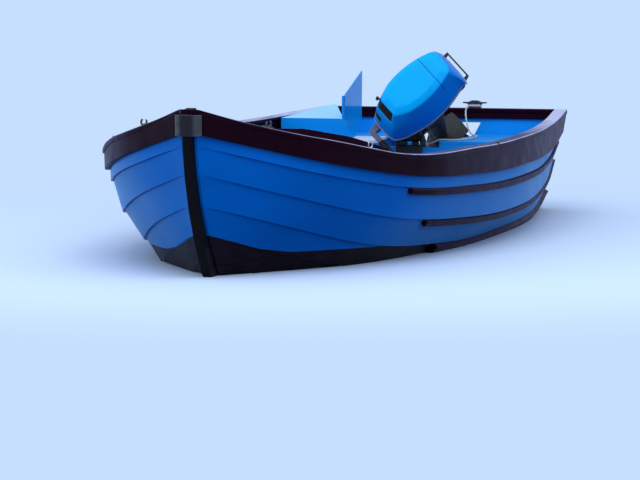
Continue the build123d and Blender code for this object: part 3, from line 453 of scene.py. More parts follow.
# %% The boat's lines
MM = 0.001
LENGTH = 4300
BOW = LENGTH / 2
PLANK = 12
GAP = 0.5
RAKE = 100 / 615
STATIONS = [0, 350, 900, 1700, 2600, 3500, LENGTH]
STEM_HALF = 32.5
LINES = [
    # how far aft it leaves the stem, height there, shift of the first station, half-breadths, heights
    (0, 694, 0, [375, 655, 800, 815, 728, 612], [594, 500, 450, 441, 452, 480]),
    (14, 560, 4, [360, 632, 800, 824, 712, 582], [452, 350, 303, 296, 304, 342]),
    (44, 440, 12, [305, 578, 752, 794, 698, 566], [345, 222, 160, 152, 185, 252]),
    (100, 305, 30, [245, 485, 642, 678, 632, 532], [225, 105, 48, 42, 52, 105]),
    (175, 180, 60, [180, 405, 530, 560, 530, 455], [112, 5, -62, -75, -65, -15]),
    (265, 60, 120, [126, 288, 382, 404, 380, 318], [0, -92, -135, -145, -135, -85]),
    (400, -70, 250, [24] * 6, [-128, -165, -190, -196, -182, -135]),
]


def fair(values, t, places=STATIONS):
    """A smooth curve through values at the stations: a cubic between neighbours, with three-point slopes."""
    slopes = []
    for i in range(len(places)):
        near = [k for k in (i - 1, i) if 0 <= k < len(places) - 1]
        rises = [(values[k + 1] - values[k]) / (places[k + 1] - places[k]) for k in near]
        runs = [places[k + 1] - places[k] for k in near]
        slopes.append(rises[0] if len(near) == 1 else (rises[1] * runs[0] + rises[0] * runs[1]) / sum(runs))
    i = max(k for k in range(len(places) - 1) if places[k] <= t)
    span = places[i + 1] - places[i]
    u = (t - places[i]) / span
    return (values[i] * (1 + 2 * u) * (1 - u) ** 2 + slopes[i] * span * u * (1 - u) ** 2
            + values[i + 1] * u * u * (3 - 2 * u) + slopes[i + 1] * span * u * u * (u - 1))


def line_point(index, t):
    """The point (distance from the bow, half-breadth, height) of a line at section t."""
    start, height, shift, halves, heights = LINES[index]
    ends = [t_s + (shift if k == 0 else 0) for k, t_s in enumerate(STATIONS[1:])]
    ends[-1] = LENGTH - RAKE * (LINES[0][4][-1] - heights[-1])
    return (fair([start] + ends, t), fair([STEM_HALF] + halves, t), fair([height] + heights, t))


print("sheer amidships:", [round(c) for c in line_point(0, 2150)])

# %% [markdown]
# A plank is a strip between two of those lines, with its lower edge lifted out over the plank below. We
# walk along it and set down four corners at each section. The same walk makes the rubbing strakes, battens
# and rails: only their lines and their distances from the hull's skin differ, so one helper serves all.

# %% Walk along two lines and build a strip
def corners_at(t, index, inner, outer, shares):
    """Corners of a strip over one plank, between two shares of the plank's height.

    Its inner and outer faces stand out from the plank's line by (distance at the top, distance at the foot).
    """
    upper, lower = line_point(index, t), line_point(index + 1, t)
    up = Vector((-(upper[0] - lower[0]), 0, upper[2] - lower[2]))
    out_y, out_up = up.length, -(upper[1] - lower[1])
    length = math.hypot(out_y, out_up)
    up = up.normalized()

    def corner(share, offset):
        s, half, z = (u + (v - u) * share for u, v in zip(upper, lower))
        outwards = Vector((0, offset * out_y / length, 0))
        return Vector((BOW - s, half, z)) + outwards + up * (offset * out_up / length)
    return [corner(shares[1], inner[1]), corner(shares[0], inner[0]),
            corner(shares[0], outer[0]), corner(shares[1], outer[1])]


def skin_mesh(rings, side=1):
    """A closed skin through rings of corners in millimetres, for one side of the boat."""
    mesh = bmesh.new()
    rows = [[mesh.verts.new((p[0] * MM, side * p[1] * MM, p[2] * MM)) for p in ring] for ring in rings]
    count = len(rings[0])
    for before, after in zip(rows, rows[1:]):
        for k in range(count):
            mesh.faces.new((before[k], before[(k + 1) % count], after[(k + 1) % count], after[k]))
    mesh.faces.new(rows[0])
    mesh.faces.new(list(reversed(rows[-1])))
    bmesh.ops.recalc_face_normals(mesh, faces=mesh.faces)
    return mesh


def absorb(mesh, other):
    """Takes another mesh into this one."""
    spare = bpy.data.meshes.new("spare")
    other.to_mesh(spare)
    other.free()
    mesh.from_mesh(spare)
    bpy.data.meshes.remove(spare)
    return mesh


def keep(mesh, name, material, edge=0.0015, segments=2, body="hull"):
    """Turns finished mesh data into a piece that rides on a body, with rounded edges and smooth shading."""
    data = bpy.data.meshes.new(name)
    mesh.to_mesh(data)
    mesh.free()
    for each in material if isinstance(material, list) else [material]:
        data.materials.append(each)
    piece = bpy.data.objects.new(name, data)
    scene.collection.objects.link(piece)
    round_off(piece, edge, segments)
    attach(piece, body)
    return piece


def sections(first, last, step=75):
    """Section positions from first to last, about a step apart and closer near the bow."""
    places = [first]
    while places[-1] < last - step * 0.75:
        places.append(places[-1] + (step * 0.4 if places[-1] < 900 else step))
    return places + [last]


print("a plank gets", len(sections(0, LENGTH)), "sections")

# %% [markdown]
# Six planks a side, blue inside, but maroon inside the top one. Near the bow the gunwale dips below the
# fair line of the sheer, and the top plank's edge dips with it. At the stem the laps run out flush, as a
# builder planes them. The lowest plank, the garboard, stops beside the motor well: there its inner edge
# follows the well's wall, so that plank is made in two lengths.

# %% Planking
STRAKES = {"sheer_strake": topside_paint, "upper_topside": topside_paint, "lower_topside": topside_paint,
           "bilge_strake": two_paints, "bottom_strake": bottom_paint, "garboard": bottom_paint}
WELL_EDGE = 276.5
WELL_FRONT = 3583.5
SIDES = (("port", 1), ("starboard", -1))
DROP_AT = [0, 150, 250, 350, 450, 650, 850, 1000, 1200, 1400, 1600, 1900, 3600, LENGTH]
DROP = [0, 17, 20, 21, 20, 25, 32, 29, 20, 9, 0, -7, -8, 0]
LAPS_FADE = 170


def drop(t):
    """How far the gunwale dips below the line of the sheer at a section, as the photograph shows it."""
    return fair(DROP, t, DROP_AT)


def plank_share(down, t):
    """A distance below the sheer as a share of the top plank's height."""
    return down / (line_point(0, t)[2] - line_point(1, t)[2])


def plank_rings(index, first, last, cut=False):
    """Rings of one plank, its lower edge held outside the well's wall where cut is set."""
    rings = []
    for t in sections(first, last):
        upper, lower = line_point(index, t), line_point(index + 1, t)
        share = (upper[1] - WELL_EDGE) / (upper[1] - lower[1]) if cut else 1
        at_low = GAP * share - PLANK * (1 - share) - (PLANK + GAP) * max(0, 1 - t / LAPS_FADE)
        head = plank_share(drop(t), t) if index == 0 else 0
        rings.append(corners_at(t, index, (-PLANK, at_low), (0, at_low + PLANK), (head, share)))
    return rings


for side_name, side in SIDES:
    for index, (strake, paint) in enumerate(STRAKES.items()):
        cut = strake == "garboard"
        mesh = skin_mesh(plank_rings(index, 0, WELL_FRONT if cut else LENGTH), side)
        if cut:
            absorb(mesh, skin_mesh(plank_rings(index, WELL_FRONT, LENGTH, True), side))
        piece = keep(mesh, f"{strake}_plank_{side_name}", [paint, inside_paint if index else maroon])
        for face in piece.data.polygons:
            face.material_index = int(face.normal.y * side < -0.3)
        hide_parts(f"{strake}_{side_name}")
print("planks:", 2 * len(STRAKES))

# %% [markdown]
# Outside the top plank runs a deep rubbing strake, and a cap covers them both. The battens and the bilge
# rail are the same idea, smaller, and each lies just under a lap. Their sections are the plank's own lines
# with other distances from the skin. To starboard the battens start further aft.

# %% Rubbing strakes, cap, battens and rails
SKIN = PLANK + GAP
RUB = 25
RUB_SHARE = 0.65
CAP_THICK = 20
CAP_INBOARD = 26
CAP_OUT = 29
CAP_LEAST = 20.5
STARBOARD_LATER = 420
BATTENS = {
    # name: (the lap that it lies under, first section, share of the plank's height, thickness)
    "upper_battens": (1, 1010, 0.18, 12),
    "lower_battens": (2, 1245, 0.18, 12),
    "bilge_rails": (3, 1590, 0.30, 22),
}


def cap_ring(t):
    """The cap's section: flat on top, its underside along the tops of the planks, narrower at the bow."""
    s, half, z = line_point(0, t)
    lap = line_point(1, t)
    inner = max(half - PLANK - CAP_INBOARD, CAP_LEAST)
    outer = half + CAP_OUT * min(1, 0.35 + t / 260)
    tilt = (half - lap[1]) / (z - lap[2])
    top = z + 2 * GAP + CAP_THICK - drop(t)
    foot = top - CAP_THICK
    under = [(y, foot - (y - half) * tilt) for y in (inner, outer)]
    return [Vector((BOW - s, y, height)) for y, height in under + [(outer, top), (inner, top)]]


def strip(side, start, index, head, share, far):
    """A strip on a plank, from a section to the transom; head is where it starts on the plank's height."""
    near = (GAP, SKIN * share + GAP)
    rings = [corners_at(t, index, near, far, (head(t), share)) for t in sections(start, LENGTH)]
    return skin_mesh(rings, side)


for side_name, side in SIDES:
    mesh = strip(side, 0, 0, lambda t: plank_share(drop(t) - 6, t), RUB_SHARE, (RUB, RUB + SKIN * RUB_SHARE))
    rub = keep(mesh, f"rubbing_{side_name}", maroon, 0.004, 3)
    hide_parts(f"rubbing_strake_{side_name}")
    mesh = skin_mesh([cap_ring(t) for t in sections(0, LENGTH)], side)
    cap = keep(mesh, f"cap_{side_name}", cap_paint, 0.006, 3)
    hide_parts(f"gunwale_cap_{side_name}")
for name, (lap, first, share, thick) in BATTENS.items():
    for side_name, side in SIDES:
        start = first if side > 0 else first + STARBOARD_LATER
        mesh = strip(side, start, lap, lambda t: 0.01, share, (SKIN + thick, SKIN + thick))
        batten = keep(mesh, f"{name}_{side_name}", maroon, 0.003, 3)
        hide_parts(name)
print("strips on the hull:", 4 + 2 * len(BATTENS))

# %% [markdown]
# On the foredeck's edge a toe rail stands on each cap. It grows out of the cap near the fairlead, falls a
# little towards its aft end, and stops where the foredeck ends. The starboard one is much lower.

# %% Toe rails
TOE_FIRST, TOE_LAST = 220, 850
TOE_GROWS, TOE_HEIGHT = 160, 31
TOE_FALLS_FROM, TOE_FALL = 600, 27
TOE_INBOARD = 18
TOE_HALF = 9
STARBOARD_HEIGHT = 0.3
for side_name, side in SIDES:
    rings = []
    for t in sections(TOE_FIRST, TOE_LAST):
        s, half, z = line_point(0, t)
        foot = z + CAP_THICK - drop(t)
        top = foot + 2 + min(1, (t - TOE_FIRST) / TOE_GROWS) * (z + TOE_HEIGHT - foot)
        top -= TOE_FALL * max(0, (t - TOE_FALLS_FROM) / (TOE_LAST - TOE_FALLS_FROM))
        top = top if side > 0 else foot + 2 + (top - foot) * STARBOARD_HEIGHT
        rings.append([Vector((BOW - s, half - TOE_INBOARD + y, height)) for y, height in
                      ((-TOE_HALF, foot), (TOE_HALF, foot), (TOE_HALF - 3, top), (3 - TOE_HALF, top))])
    rail = keep(skin_mesh(rings, side), f"toe_rail_{side_name}", maroon, 0.003, 3)
    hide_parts("toe_rails")
    print(rail.name, "stands up to", round(max(ring[2].z - ring[0].z for ring in rings)), "mm above the cap")

# %% [markdown]
# Round bars, rings, tubes and turned parts are all a circle carried along a path, with a radius that may
# change on the way. The helper turns the circle gently from point to point, so that a bent rod does not
# twist.

# %% A rod along a path
def rod(path, radius, sides=16, closed=False):
    """A round bar along points in metres; the radius may be a list, one for each point."""
    mesh = bmesh.new()
    path = [Vector(place) for place in path]
    radii = radius if isinstance(radius, list) else [radius] * len(path)
    count = len(path)
    rows = []
    side_way = None
    for i, place in enumerate(path):
        after = path[(i + 1) % count] if closed or i + 1 < count else place
        before = path[i - 1] if closed or i else place
        run = (after - before).normalized()
        if side_way is None:
            side_way = run.orthogonal().normalized()
        side_way = (side_way - run * side_way.dot(run)).normalized()
        third = run.cross(side_way)
        row = []
        for k in range(sides):
            angle = 2 * math.pi * k / sides
            spoke = side_way * math.cos(angle) + third * math.sin(angle)
            row.append(mesh.verts.new(place + radii[i] * spoke))
        rows.append(row)
    for before, after in zip(rows, rows[1:] + rows[:1] if closed else rows[1:]):
        for k in range(sides):
            mesh.faces.new((before[k], before[(k + 1) % sides], after[(k + 1) % sides], after[k]))
    if not closed:
        mesh.faces.new(rows[0])
        mesh.faces.new(list(reversed(rows[-1])))
    bmesh.ops.recalc_face_normals(mesh, faces=mesh.faces)
    return mesh


def turned(start, axis, profile, sides=20):
    """A turned part: a profile of (distance along the axis, radius), both in metres."""
    start, axis = Vector(start), Vector(axis).normalized()
    return rod([start + axis * run for run, _ in profile], [radius for _, radius in profile], sides)


def ring_of(centre, across, up, radius, thick):
    """A round wire ring that lies in the plane of two directions."""
    path = [Vector(centre) + radius * (Vector(across) * math.cos(a) + Vector(up) * math.sin(a))
            for a in (2 * math.pi * k / 28 for k in range(28))]
    return rod(path, thick, 10, closed=True)


print("a ring takes", len(ring_of((0, 0, 0), (1, 0, 0), (0, 0, 1), 0.02, 0.003).faces), "faces")

# %% [markdown]
# At the stem head a grey metal block folds round the ends of the rubbing strakes in three facets, and the
# middle one, which faces ahead, gets a painted shade. The maroon nose of the gunwale lies above it. Both are
# the same plan, a horseshoe round the stem, at two heights. The stem is painted black, brown at its foot and
# maroon at its head, and its paint does that by height.

# %% Stem head
def mirrored(half):
    """A closed plan from its half and that half's mirror image."""
    return half + [(x, -y) for x, y in reversed(half)]


def horseshoe(half, reach, foot, head):
    """A horseshoe round the stem in plan, between two heights; half is its half width and reach its depth."""
    outside = [(0.5, -half), (reach - 12, 14 - half), (reach, -20)]
    inside = [(0.5, 21), (31, 21)]
    plan = mirrored(outside) + mirrored(inside)
    return skin_mesh([[(BOW + x, y, z) for x, y in plan] for z in (foot, head)])


block = absorb(horseshoe(58.5, 37, 605, 692),
               turned((2.178, 0, 0.6905), (0, 0, 1), [(0, 0.007), (0.003, 0.006)]))
block_grey = steel.copy()
block_grey.name = "block_grey"
ahead = component(block_grey.node_tree, "X", "Normal")
# painted shade on the facet that faces ahead
recolour(block_grey, ramp(block_grey.node_tree, ahead, 0.93, 0.98), (30, 30, 38))
block_piece = keep(block, "stem_head_facets", block_grey, 0.003, 3)
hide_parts("stem_head_block")
keep(horseshoe(43, 34, 693.5, 714.5), "gunwale_nose", maroon, 0.005, 3)
stem_paint = below_line(finish("stem_paint", (6, 6, 10), (12, 12, 17), rough=(0.4, 0.55), scale=12,
                               relief=0.0002, IOR=1.12))
recolour(stem_paint, along(stem_paint.node_tree, "Z", 0.690, 0.692), (30, 10, 20))
nodes["stem"].data.materials[0] = stem_paint
print("stem head:", block_piece.name)

# %% [markdown]
# Along the gunwale sit a few small fittings: a fairlead each side of the bow, which is a foot plate with a
# ring that a rope can be dropped into, a mooring ring on the port side, and two dark eyes. A fitting finds
# its place from the same lines as the planks, so that it stands on the cap wherever the sheer goes.

# %% Fairleads and rings
def on_cap(t, side, inboard, above=0.0):
    """A point on top of the gunwale cap, so many millimetres inboard of the sheer line, in metres."""
    s, half, z = line_point(0, t)
    return Vector((BOW - s, side * (half - inboard), z + CAP_THICK + 2 * GAP - drop(t) + above)) * MM


def along_cap(t, side):
    """The direction of the cap at a section, pointing forward."""
    return (on_cap(t - 5, side, 0) - on_cap(t + 5, side, 0)).normalized()


FAIRLEAD_AT = 236
RING_AT = 690
for side_name, side in SIDES:
    base = on_cap(FAIRLEAD_AT, side, 4)
    run = along_cap(FAIRLEAD_AT, side)
    across = Vector((0, 0, 1)).cross(run).normalized()
    rise = run.cross(across)
    foot = [base + run * 0.0115 * (k - 3) + rise * (0.005 - 0.0012 * abs(k - 3) ** 1.5) for k in range(7)]
    fairlead = rod(foot, [0.004, 0.0075, 0.009, 0.009, 0.009, 0.0075, 0.004], 12)
    horn = []
    for angle in (math.radians(degrees) for degrees in range(-240, 41, 20)):
        sideways = (run * 0.014 + across * 0.006) * math.cos(angle)
        horn.append(base + sideways + rise * (0.0205 + 0.0135 * math.sin(angle)))
    absorb(fairlead, rod(horn, [0.0045] * (len(horn) - 2) + [0.0036, 0.0018], 12))
    fitting = keep(fairlead, f"fairlead_{side_name}", steel, 0)
    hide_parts("fairleads")
mooring_ring = ring_of(on_cap(RING_AT, 1, -12, 14), along_cap(RING_AT, 1), (0, 0.1, 0.995), 0.0135, 0.0030)
absorb(mooring_ring, turned(on_cap(RING_AT, 1, -12, -2), (0, 0, 1),
                            [(0, 0.009), (0.004, 0.009), (0.006, 0.005)]))
keep(mooring_ring, "mooring_ring", bright_metal, 0)
for name, place in (("port_eye", on_cap(1940, 1, -22, 0)), ("starboard_eye", on_cap(500, -1, -14, 0))):
    eye = turned(place - Vector((0, 0, 0.004)), (0, 0, 1), [(0, 0.009), (0.007, 0.009), (0.010, 0.005)], 14)
    keep(eye, name, casting_black, 0)
print("fairleads at", [round(c, 3) for c in base])

# %% [markdown]
# The tinted side screen is one thin sheet on the starboard quarter. Its shape is the CAD sheet's own,
# copied and set a little further out. It lets the dark gunwale behind it show through, so its finish is
# partly clear. A solid blue post stiffens its front.

# %% Side screen and its front post
SCREEN_SHIFT = -0.016
POST_Y = -350
sheet_mesh = bmesh.new()
sheet_mesh.from_mesh(nodes["side_screen"].data)
sheet_mesh.transform(Matrix.Translation((0, SCREEN_SHIFT, 0)) @ nodes["side_screen"].matrix_world)
bmesh.ops.remove_doubles(sheet_mesh, verts=sheet_mesh.verts, dist=0.00002)
screen = keep(sheet_mesh, "screen_sheet", tinted_sheet, 0.001)
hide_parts("side_screen")
post_plan = [(-1454, POST_Y - 6), (-1454, POST_Y + 6), (-1478, POST_Y + 6), (-1478, POST_Y - 6)]
post = skin_mesh([[(x, y, z) for x, y in post_plan] for z in (477, 588)])
keep(post, "screen_post", inside_paint)
print("screen shifted by", SCREEN_SHIFT, "m")

# %% [markdown]
# The motor is drawn as it would stand in the water, straight ahead: x forward, y to port and z up along its
# steering axis. One matrix then carries everything to the parked pose, tilted up by 70 degrees and turned
# by 45, so that all its sizes can be written in the motor's own plain axes.

# %% The motor's own axes
TILT_PIN = Vector((-1.450, 0, 0.385))
TILTED_UP = math.radians(70)
TURNED = math.radians(-45)
TO_MOTOR = (Matrix.Translation(TILT_PIN) @ Matrix.Rotation(TILTED_UP, 4, "Y")
            @ Matrix.Translation((-0.080, 0, 0)) @ Matrix.Rotation(TURNED, 4, "Z"))


def keep_on_motor(mesh, name, material, edge=0, body="motor"):
    """Carries a mesh from the motor's own axes to the parked pose, as a piece on one of its bodies."""
    mesh.transform(TO_MOTOR)
    return keep(mesh, name, material, edge, body=body)


print("steering axis points to", [round(c, 3) for c in TO_MOTOR.to_3x3() @ Vector((0, 0, 1))])

# %% [markdown]
# The cowl is a moulding: eight corner points a side give its plan at four heights. We soften that plan with
# a curve that passes through the corners, stack the plans, and let a subdivision surface melt the stack
# into one skin. Extra plans close together keep the shoulder as firm as the real one, where the bright top
# meets the sides.

# %% Softened plans and a smoothed skin
COWL_PLANS = [
    [(138, 50), (118, 88), (60, 117), (-45, 140), (-120, 144), (-200, 135), (-300, 108), (-333, 94)],
    [(104, 46), (92, 78), (32, 110), (-58, 131), (-124, 134), (-195, 125), (-288, 101), (-325, 80)],
    [(54, 35), (49, 58), (-14, 93), (-75, 105), (-130, 107), (-190, 102), (-262, 86), (-312, 55)],
    [(18, 20), (14, 38), (-38, 66), (-84, 76), (-130, 78), (-182, 73), (-236, 58), (-272, 34)],
]
COWL_SHARES = [0, 0.45, 0.91, 1]
COWL_FOOT = 175.5
COWL_RISE = 194


def cowl_plan(share, scale=1.0):
    """The cowl's plan at a share of its height, between the plans of the table, drawn in about its middle."""
    low = max(k for k in range(len(COWL_SHARES) - 1) if COWL_SHARES[k] <= share)
    part = (share - COWL_SHARES[low]) / (COWL_SHARES[low + 1] - COWL_SHARES[low])
    pairs = zip(COWL_PLANS[low], COWL_PLANS[low + 1])
    half = [tuple(a + (b - a) * part for a, b in zip(*pair)) for pair in pairs]
    half = [(-100 + (x + 100) * scale, y * scale) for x, y in half]
    return mirrored(half)


def soften(corners, steps=3):
    """A smooth closed line through corner points: each run becomes a few short ones."""
    line = []
    for i in range(len(corners)):
        a, b, c, d = (corners[(i + k) % len(corners)] for k in (-1, 0, 1, 2))
        for k in range(steps):
            u = k / steps
            line.append(tuple(0.5 * (2 * q + (r - p) * u + (2 * p - 5 * q + 4 * r - s) * u * u
                                     + (3 * q - p - 3 * r + s) * u ** 3) for p, q, r, s in zip(a, b, c, d)))
    return line


def level(plan, z):
    """A plan's points at one height."""
    return [(x, y, z) for x, y in plan]


def smoothed(mesh):
    """The same mesh after a subdivision surface, as mesh data again."""
    data = bpy.data.meshes.new("cage")
    mesh.to_mesh(data)
    mesh.free()
    cage = bpy.data.objects.new("cage", data)
    scene.collection.objects.link(cage)
    cage.modifiers.new("melt", "SUBSURF").levels = 1
    found = bpy.data.meshes.new_from_object(cage.evaluated_get(bpy.context.evaluated_depsgraph_get()))
    result = bmesh.new()
    result.from_mesh(found)
    bpy.data.objects.remove(cage)
    bpy.data.meshes.remove(data)
    bpy.data.meshes.remove(found)
    return result


print("a plan has", len(soften(cowl_plan(0))), "points")

# %% [markdown]
# Three details are cut into the cowl. Two black recesses lie across its front, where it takes in air: those
# faces of the cage are inset and pushed in before it is smoothed. A fine parting groove runs over the top
# near the back: three cuts are made through the smooth skin, the middle one is pushed down, and the strip
# between gets a painted shade, a deeper blue.

# %% Cowl
COWL_ROWS = [
    # share of the height, scale of the plan there
    (0, 0.985), (0.04, 0.99), (0.18, 0.985), (0.27, 0.985), (0.42, 0.979), (0.52, 0.978), (0.60, 0.977),
    (0.78, 0.972), (0.87, 0.966), (0.91, 0.962), (0.95, 0.965), (0.995, 0.970), (1.0, 0.93), (1.0, 0.6),
]
COWL_CROWN = 1.5
cowl_rings = [level(soften(cowl_plan(share, scale), 6), COWL_FOOT + COWL_RISE * share)
              for share, scale in COWL_ROWS]
cowl_rings[-1] = [(x, y, z + COWL_CROWN) for x, y, z in cowl_rings[-1]]
cage = skin_mesh(cowl_rings)


def recess(low, high, left, right):
    """Sinks the front faces of the cage between two heights and two widths, and blackens them."""
    chosen = []
    for face in cage.faces:
        middle = face.calc_center_median() / MM
        if middle.x > 40 and low < middle.z < high and left < middle.y < right:
            chosen.append(face)
    bmesh.ops.inset_region(cage, faces=chosen, thickness=0.003, use_even_offset=True)
    inner = bmesh.ops.inset_region(cage, faces=chosen, thickness=0.0012, depth=-0.010, use_even_offset=True)
    for face in chosen + inner["faces"]:
        face.material_index = 1
    return len(chosen)


print("recess faces:", recess(288, 352, -100, 44), recess(205, 258, -110, -10))
cowl_mesh = smoothed(cage)
GROOVE_AT = -0.2215
GROOVE_HALF = 0.0016
GROOVE_FOOT = 0.290
GROOVE_DEPTH = 0.0022
for cut in (GROOVE_AT - GROOVE_HALF, GROOVE_AT, GROOVE_AT + GROOVE_HALF):
    bmesh.ops.bisect_plane(cowl_mesh, geom=cowl_mesh.verts[:] + cowl_mesh.edges[:] + cowl_mesh.faces[:],
                           plane_co=(cut, 0, 0), plane_no=(1, 0, 0))
for vert in cowl_mesh.verts:
    if abs(vert.co.x - GROOVE_AT) < 0.0002 and vert.co.z > GROOVE_FOOT:
        vert.co.z -= GROOVE_DEPTH * min(1, (vert.co.z - GROOVE_FOOT) / 0.05)
        vert.co.y *= 0.988
for face in cowl_mesh.faces:
    middle = face.calc_center_median()
    if abs(middle.x - GROOVE_AT) < GROOVE_HALF and middle.z > GROOVE_FOOT:
        face.material_index = 2
# painted shade in the groove: a deeper blue
groove_painted_shade = finish("groove_painted_shade", (2, 62, 150), (2, 54, 138), rough=(0.5, 0.6), IOR=1.2)
cowl = keep_on_motor(cowl_mesh, "cowl_shell", [cowl_blue, recess_black, groove_painted_shade])
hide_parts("cowl")
print("cowl faces:", len(cowl.data.polygons))

# %% [markdown]
# Below the cowl a thin grey rim stands a little proud, and under it the black pan draws in towards the leg.
# Both use the cowl's own foot plan, so they fit it all round.

# %% Rim and pan
def foot_rings(rows):
    """Rings of the cowl's foot plan at several heights, each with its own scale."""
    return [level(soften(cowl_plan(0, scale)), z) for z, scale in rows]


rim_rows = [(168.2, 0.970), (168.2, 0.992), (170.0, 1.0), (173.2, 1.0), (175.2, 0.992), (175.2, 0.970)]
rim = keep_on_motor(skin_mesh(foot_rings(rim_rows)), "cowl_rim_moulding", rim_grey)
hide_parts("cowl_rim")
pan_rows = [(92, 0.60), (92, 0.75), (95, 0.80), (112, 0.87), (132, 0.93), (150, 0.95), (167, 0.96),
            (167.5, 0.94)]
pan = keep_on_motor(smoothed(skin_mesh(foot_rings(pan_rows))), "pan", moulded_black)
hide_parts("lower_pan")
print("faces on the rim and the pan:", len(rim.data.polygons), len(pan.data.polygons))

# %% [markdown]
# The leg's housing flares from the slim foot at the plate to a broad head under the pan. The steering shaft
# runs down ahead of it in two lugs. Casting ribs across its sides break them up, as on any die-cast leg.

# %% Leg
LEG_FOOT, LEG_HEAD = -421, 91.5
LEG_FOOT_PLAN = [(-26, 0), (-34, 22), (-60, 27), (-85, 20), (-104, 0), (-85, -20), (-60, -27), (-34, -22)]


def leg_plan(share):
    """The leg's plan at a share of its height above the foot, and that height."""
    wide, deep = 1 + 1.35 * share, 1 + 0.4 * share
    plan = soften([(-26 - 4 * share + (x + 26) * wide, y * deep) for x, y in LEG_FOOT_PLAN], 4)
    return plan, LEG_FOOT + (LEG_HEAD - LEG_FOOT) * share


leg_mesh = skin_mesh([level(*leg_plan(k / 12)) for k in range(13)])
for side in (1, -1):
    for share in (0.30, 0.52, 0.74):
        plan, z = leg_plan(share)
        rib = [(x * MM, (y - side * 1.5) * MM, z * MM) for x, y in plan if side * y > 12]
        absorb(leg_mesh, rod(rib, 0.004, 8))
absorb(leg_mesh, turned((0, 0, -0.176), (0, 0, 1),
                        [(0, 0.010), (0.003, 0.012), (0.283, 0.012), (0.286, 0.010)]))
lug = [(24 * math.cos(a), 24 * math.sin(a)) for a in (math.radians(d) for d in range(-90, 91, 15))]
lug += [(-50, 24), (-50, -24)]
for foot in (63, -177):
    absorb(leg_mesh, skin_mesh([level(lug, foot), level(lug, foot + 22)]))
leg = keep_on_motor(leg_mesh, "leg_casting", casting_black, 0.002)
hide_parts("leg")
print("leg faces:", len(leg.data.polygons))

# %% [markdown]
# At the foot are the anti-ventilation plate, the slim strut below it, the gearcase like a small torpedo,
# and the skeg. The plate is a softened plan, the torpedo is turned, and the skeg is a thin plate.

# %% Gearcase
PLATE_PLAN = [(24, 0), (0, 42), (-60, 72), (-175, 72), (-195, 50), (-195, -50), (-175, -72), (-60, -72),
              (0, -42)]
STRUT_PLAN = [(-6, 0), (-30, 17), (-70, 20), (-118, 0), (-70, -20), (-30, -17)]
SKEG = [(10, -550), (-30, -656), (-52, -668), (-100, -664), (-110, -550)]
TORPEDO = [(0, 0.002), (0.003, 0.010), (0.010, 0.019), (0.022, 0.029), (0.040, 0.0345), (0.056, 0.036),
           (0.120, 0.036), (0.140, 0.0345), (0.165, 0.030), (0.186, 0.027)]
PLUG = [(-0.003, 0.007), (0.0015, 0.007), (0.002, 0.004)]
GEAR_Z = -0.540
gear_mesh = skin_mesh([level(soften(PLATE_PLAN), z) for z in (-428, -422)])
absorb(gear_mesh, skin_mesh([level(soften(STRUT_PLAN), z) for z in (-516, -480, -428)]))
absorb(gear_mesh, turned((0.048, 0, GEAR_Z), (-1, 0, 0), TORPEDO, 32))
absorb(gear_mesh, skin_mesh([[(x, y, z) for x, z in SKEG] for y in (-4, 4)]))
absorb(gear_mesh, turned((-0.060, 0.0355, GEAR_Z), (0, 1, 0), PLUG, 6))
gearcase = keep_on_motor(gear_mesh, "gearcase_casting", casting_black, 0.0015)
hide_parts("gearcase")
print("gearcase length:", round(TORPEDO[-1][0] / MM), "mm")

# %% [markdown]
# The propeller has three blades. Each is a thin twisted leaf: its pitch is steeper near the hub than at the
# tip, because the tip travels further in each turn. A grid of points gives both faces, and they meet in a
# fine edge.

# %% Propeller
HUB = [(0, 0.020), (0.001, 0.026), (0.004, 0.027), (0.040, 0.0255), (0.056, 0.020), (0.060, 0.012)]
BLADES_AT = Vector((-0.165, 0, GEAR_Z))
BLADE_ROOT, BLADE_TIP = 0.022, 0.0915
STEPS_OUT, STEPS_ACROSS = 12, 8


def blade(turn):
    """One twisted blade, turned about the propeller's axis."""
    mesh = bmesh.new()
    turning = Matrix.Rotation(turn, 3, "X")
    for face_side in (1, -1):
        grid = []
        for share in (i / STEPS_OUT for i in range(STEPS_OUT + 1)):
            radius = BLADE_ROOT + (BLADE_TIP - BLADE_ROOT) * share
            chord = 0.030 * math.sqrt(max(0.02, 1 - (2 * share - 0.95) ** 2 * 0.98))
            pitch = math.radians(38 - 16 * share)
            row = []
            for v in (2 * j / STEPS_ACROSS - 1 for j in range(STEPS_ACROSS + 1)):
                thick = 0.0024 * (1 - 0.6 * share) * (1 - v * v) * face_side
                place = Vector((v * chord * math.sin(pitch) + thick * math.cos(pitch),
                                v * chord * math.cos(pitch) - thick * math.sin(pitch), radius))
                row.append(mesh.verts.new(turning @ place + BLADES_AT))
            grid.append(row)
        for a, b in zip(grid, grid[1:]):
            for j in range(STEPS_ACROSS):
                mesh.faces.new((a[j], a[j + 1], b[j + 1], b[j]))
    bmesh.ops.remove_doubles(mesh, verts=mesh.verts, dist=0.00005)
    bmesh.ops.holes_fill(mesh, edges=[edge for edge in mesh.edges if edge.is_boundary])
    bmesh.ops.recalc_face_normals(mesh, faces=mesh.faces)
    return mesh


prop_mesh = turned((-0.139, 0, GEAR_Z), (-1, 0, 0), HUB, 28)
for k in range(3):
    absorb(prop_mesh, blade(math.radians(120 * k)))
prop = keep_on_motor(prop_mesh, "propeller_blades", casting_black, body="propeller")
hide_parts("propeller")
print("propeller across:", round(2000 * BLADE_TIP), "mm")

# %% [markdown]
# A steering arm reaches forward from the pan and ends in a folded twist grip, whose rubber is ribbed so
# that a wet hand can hold it. The ribs are real: the profile of the turned grip goes in and out along its
# length. The starter knob and the stop button are turned too.

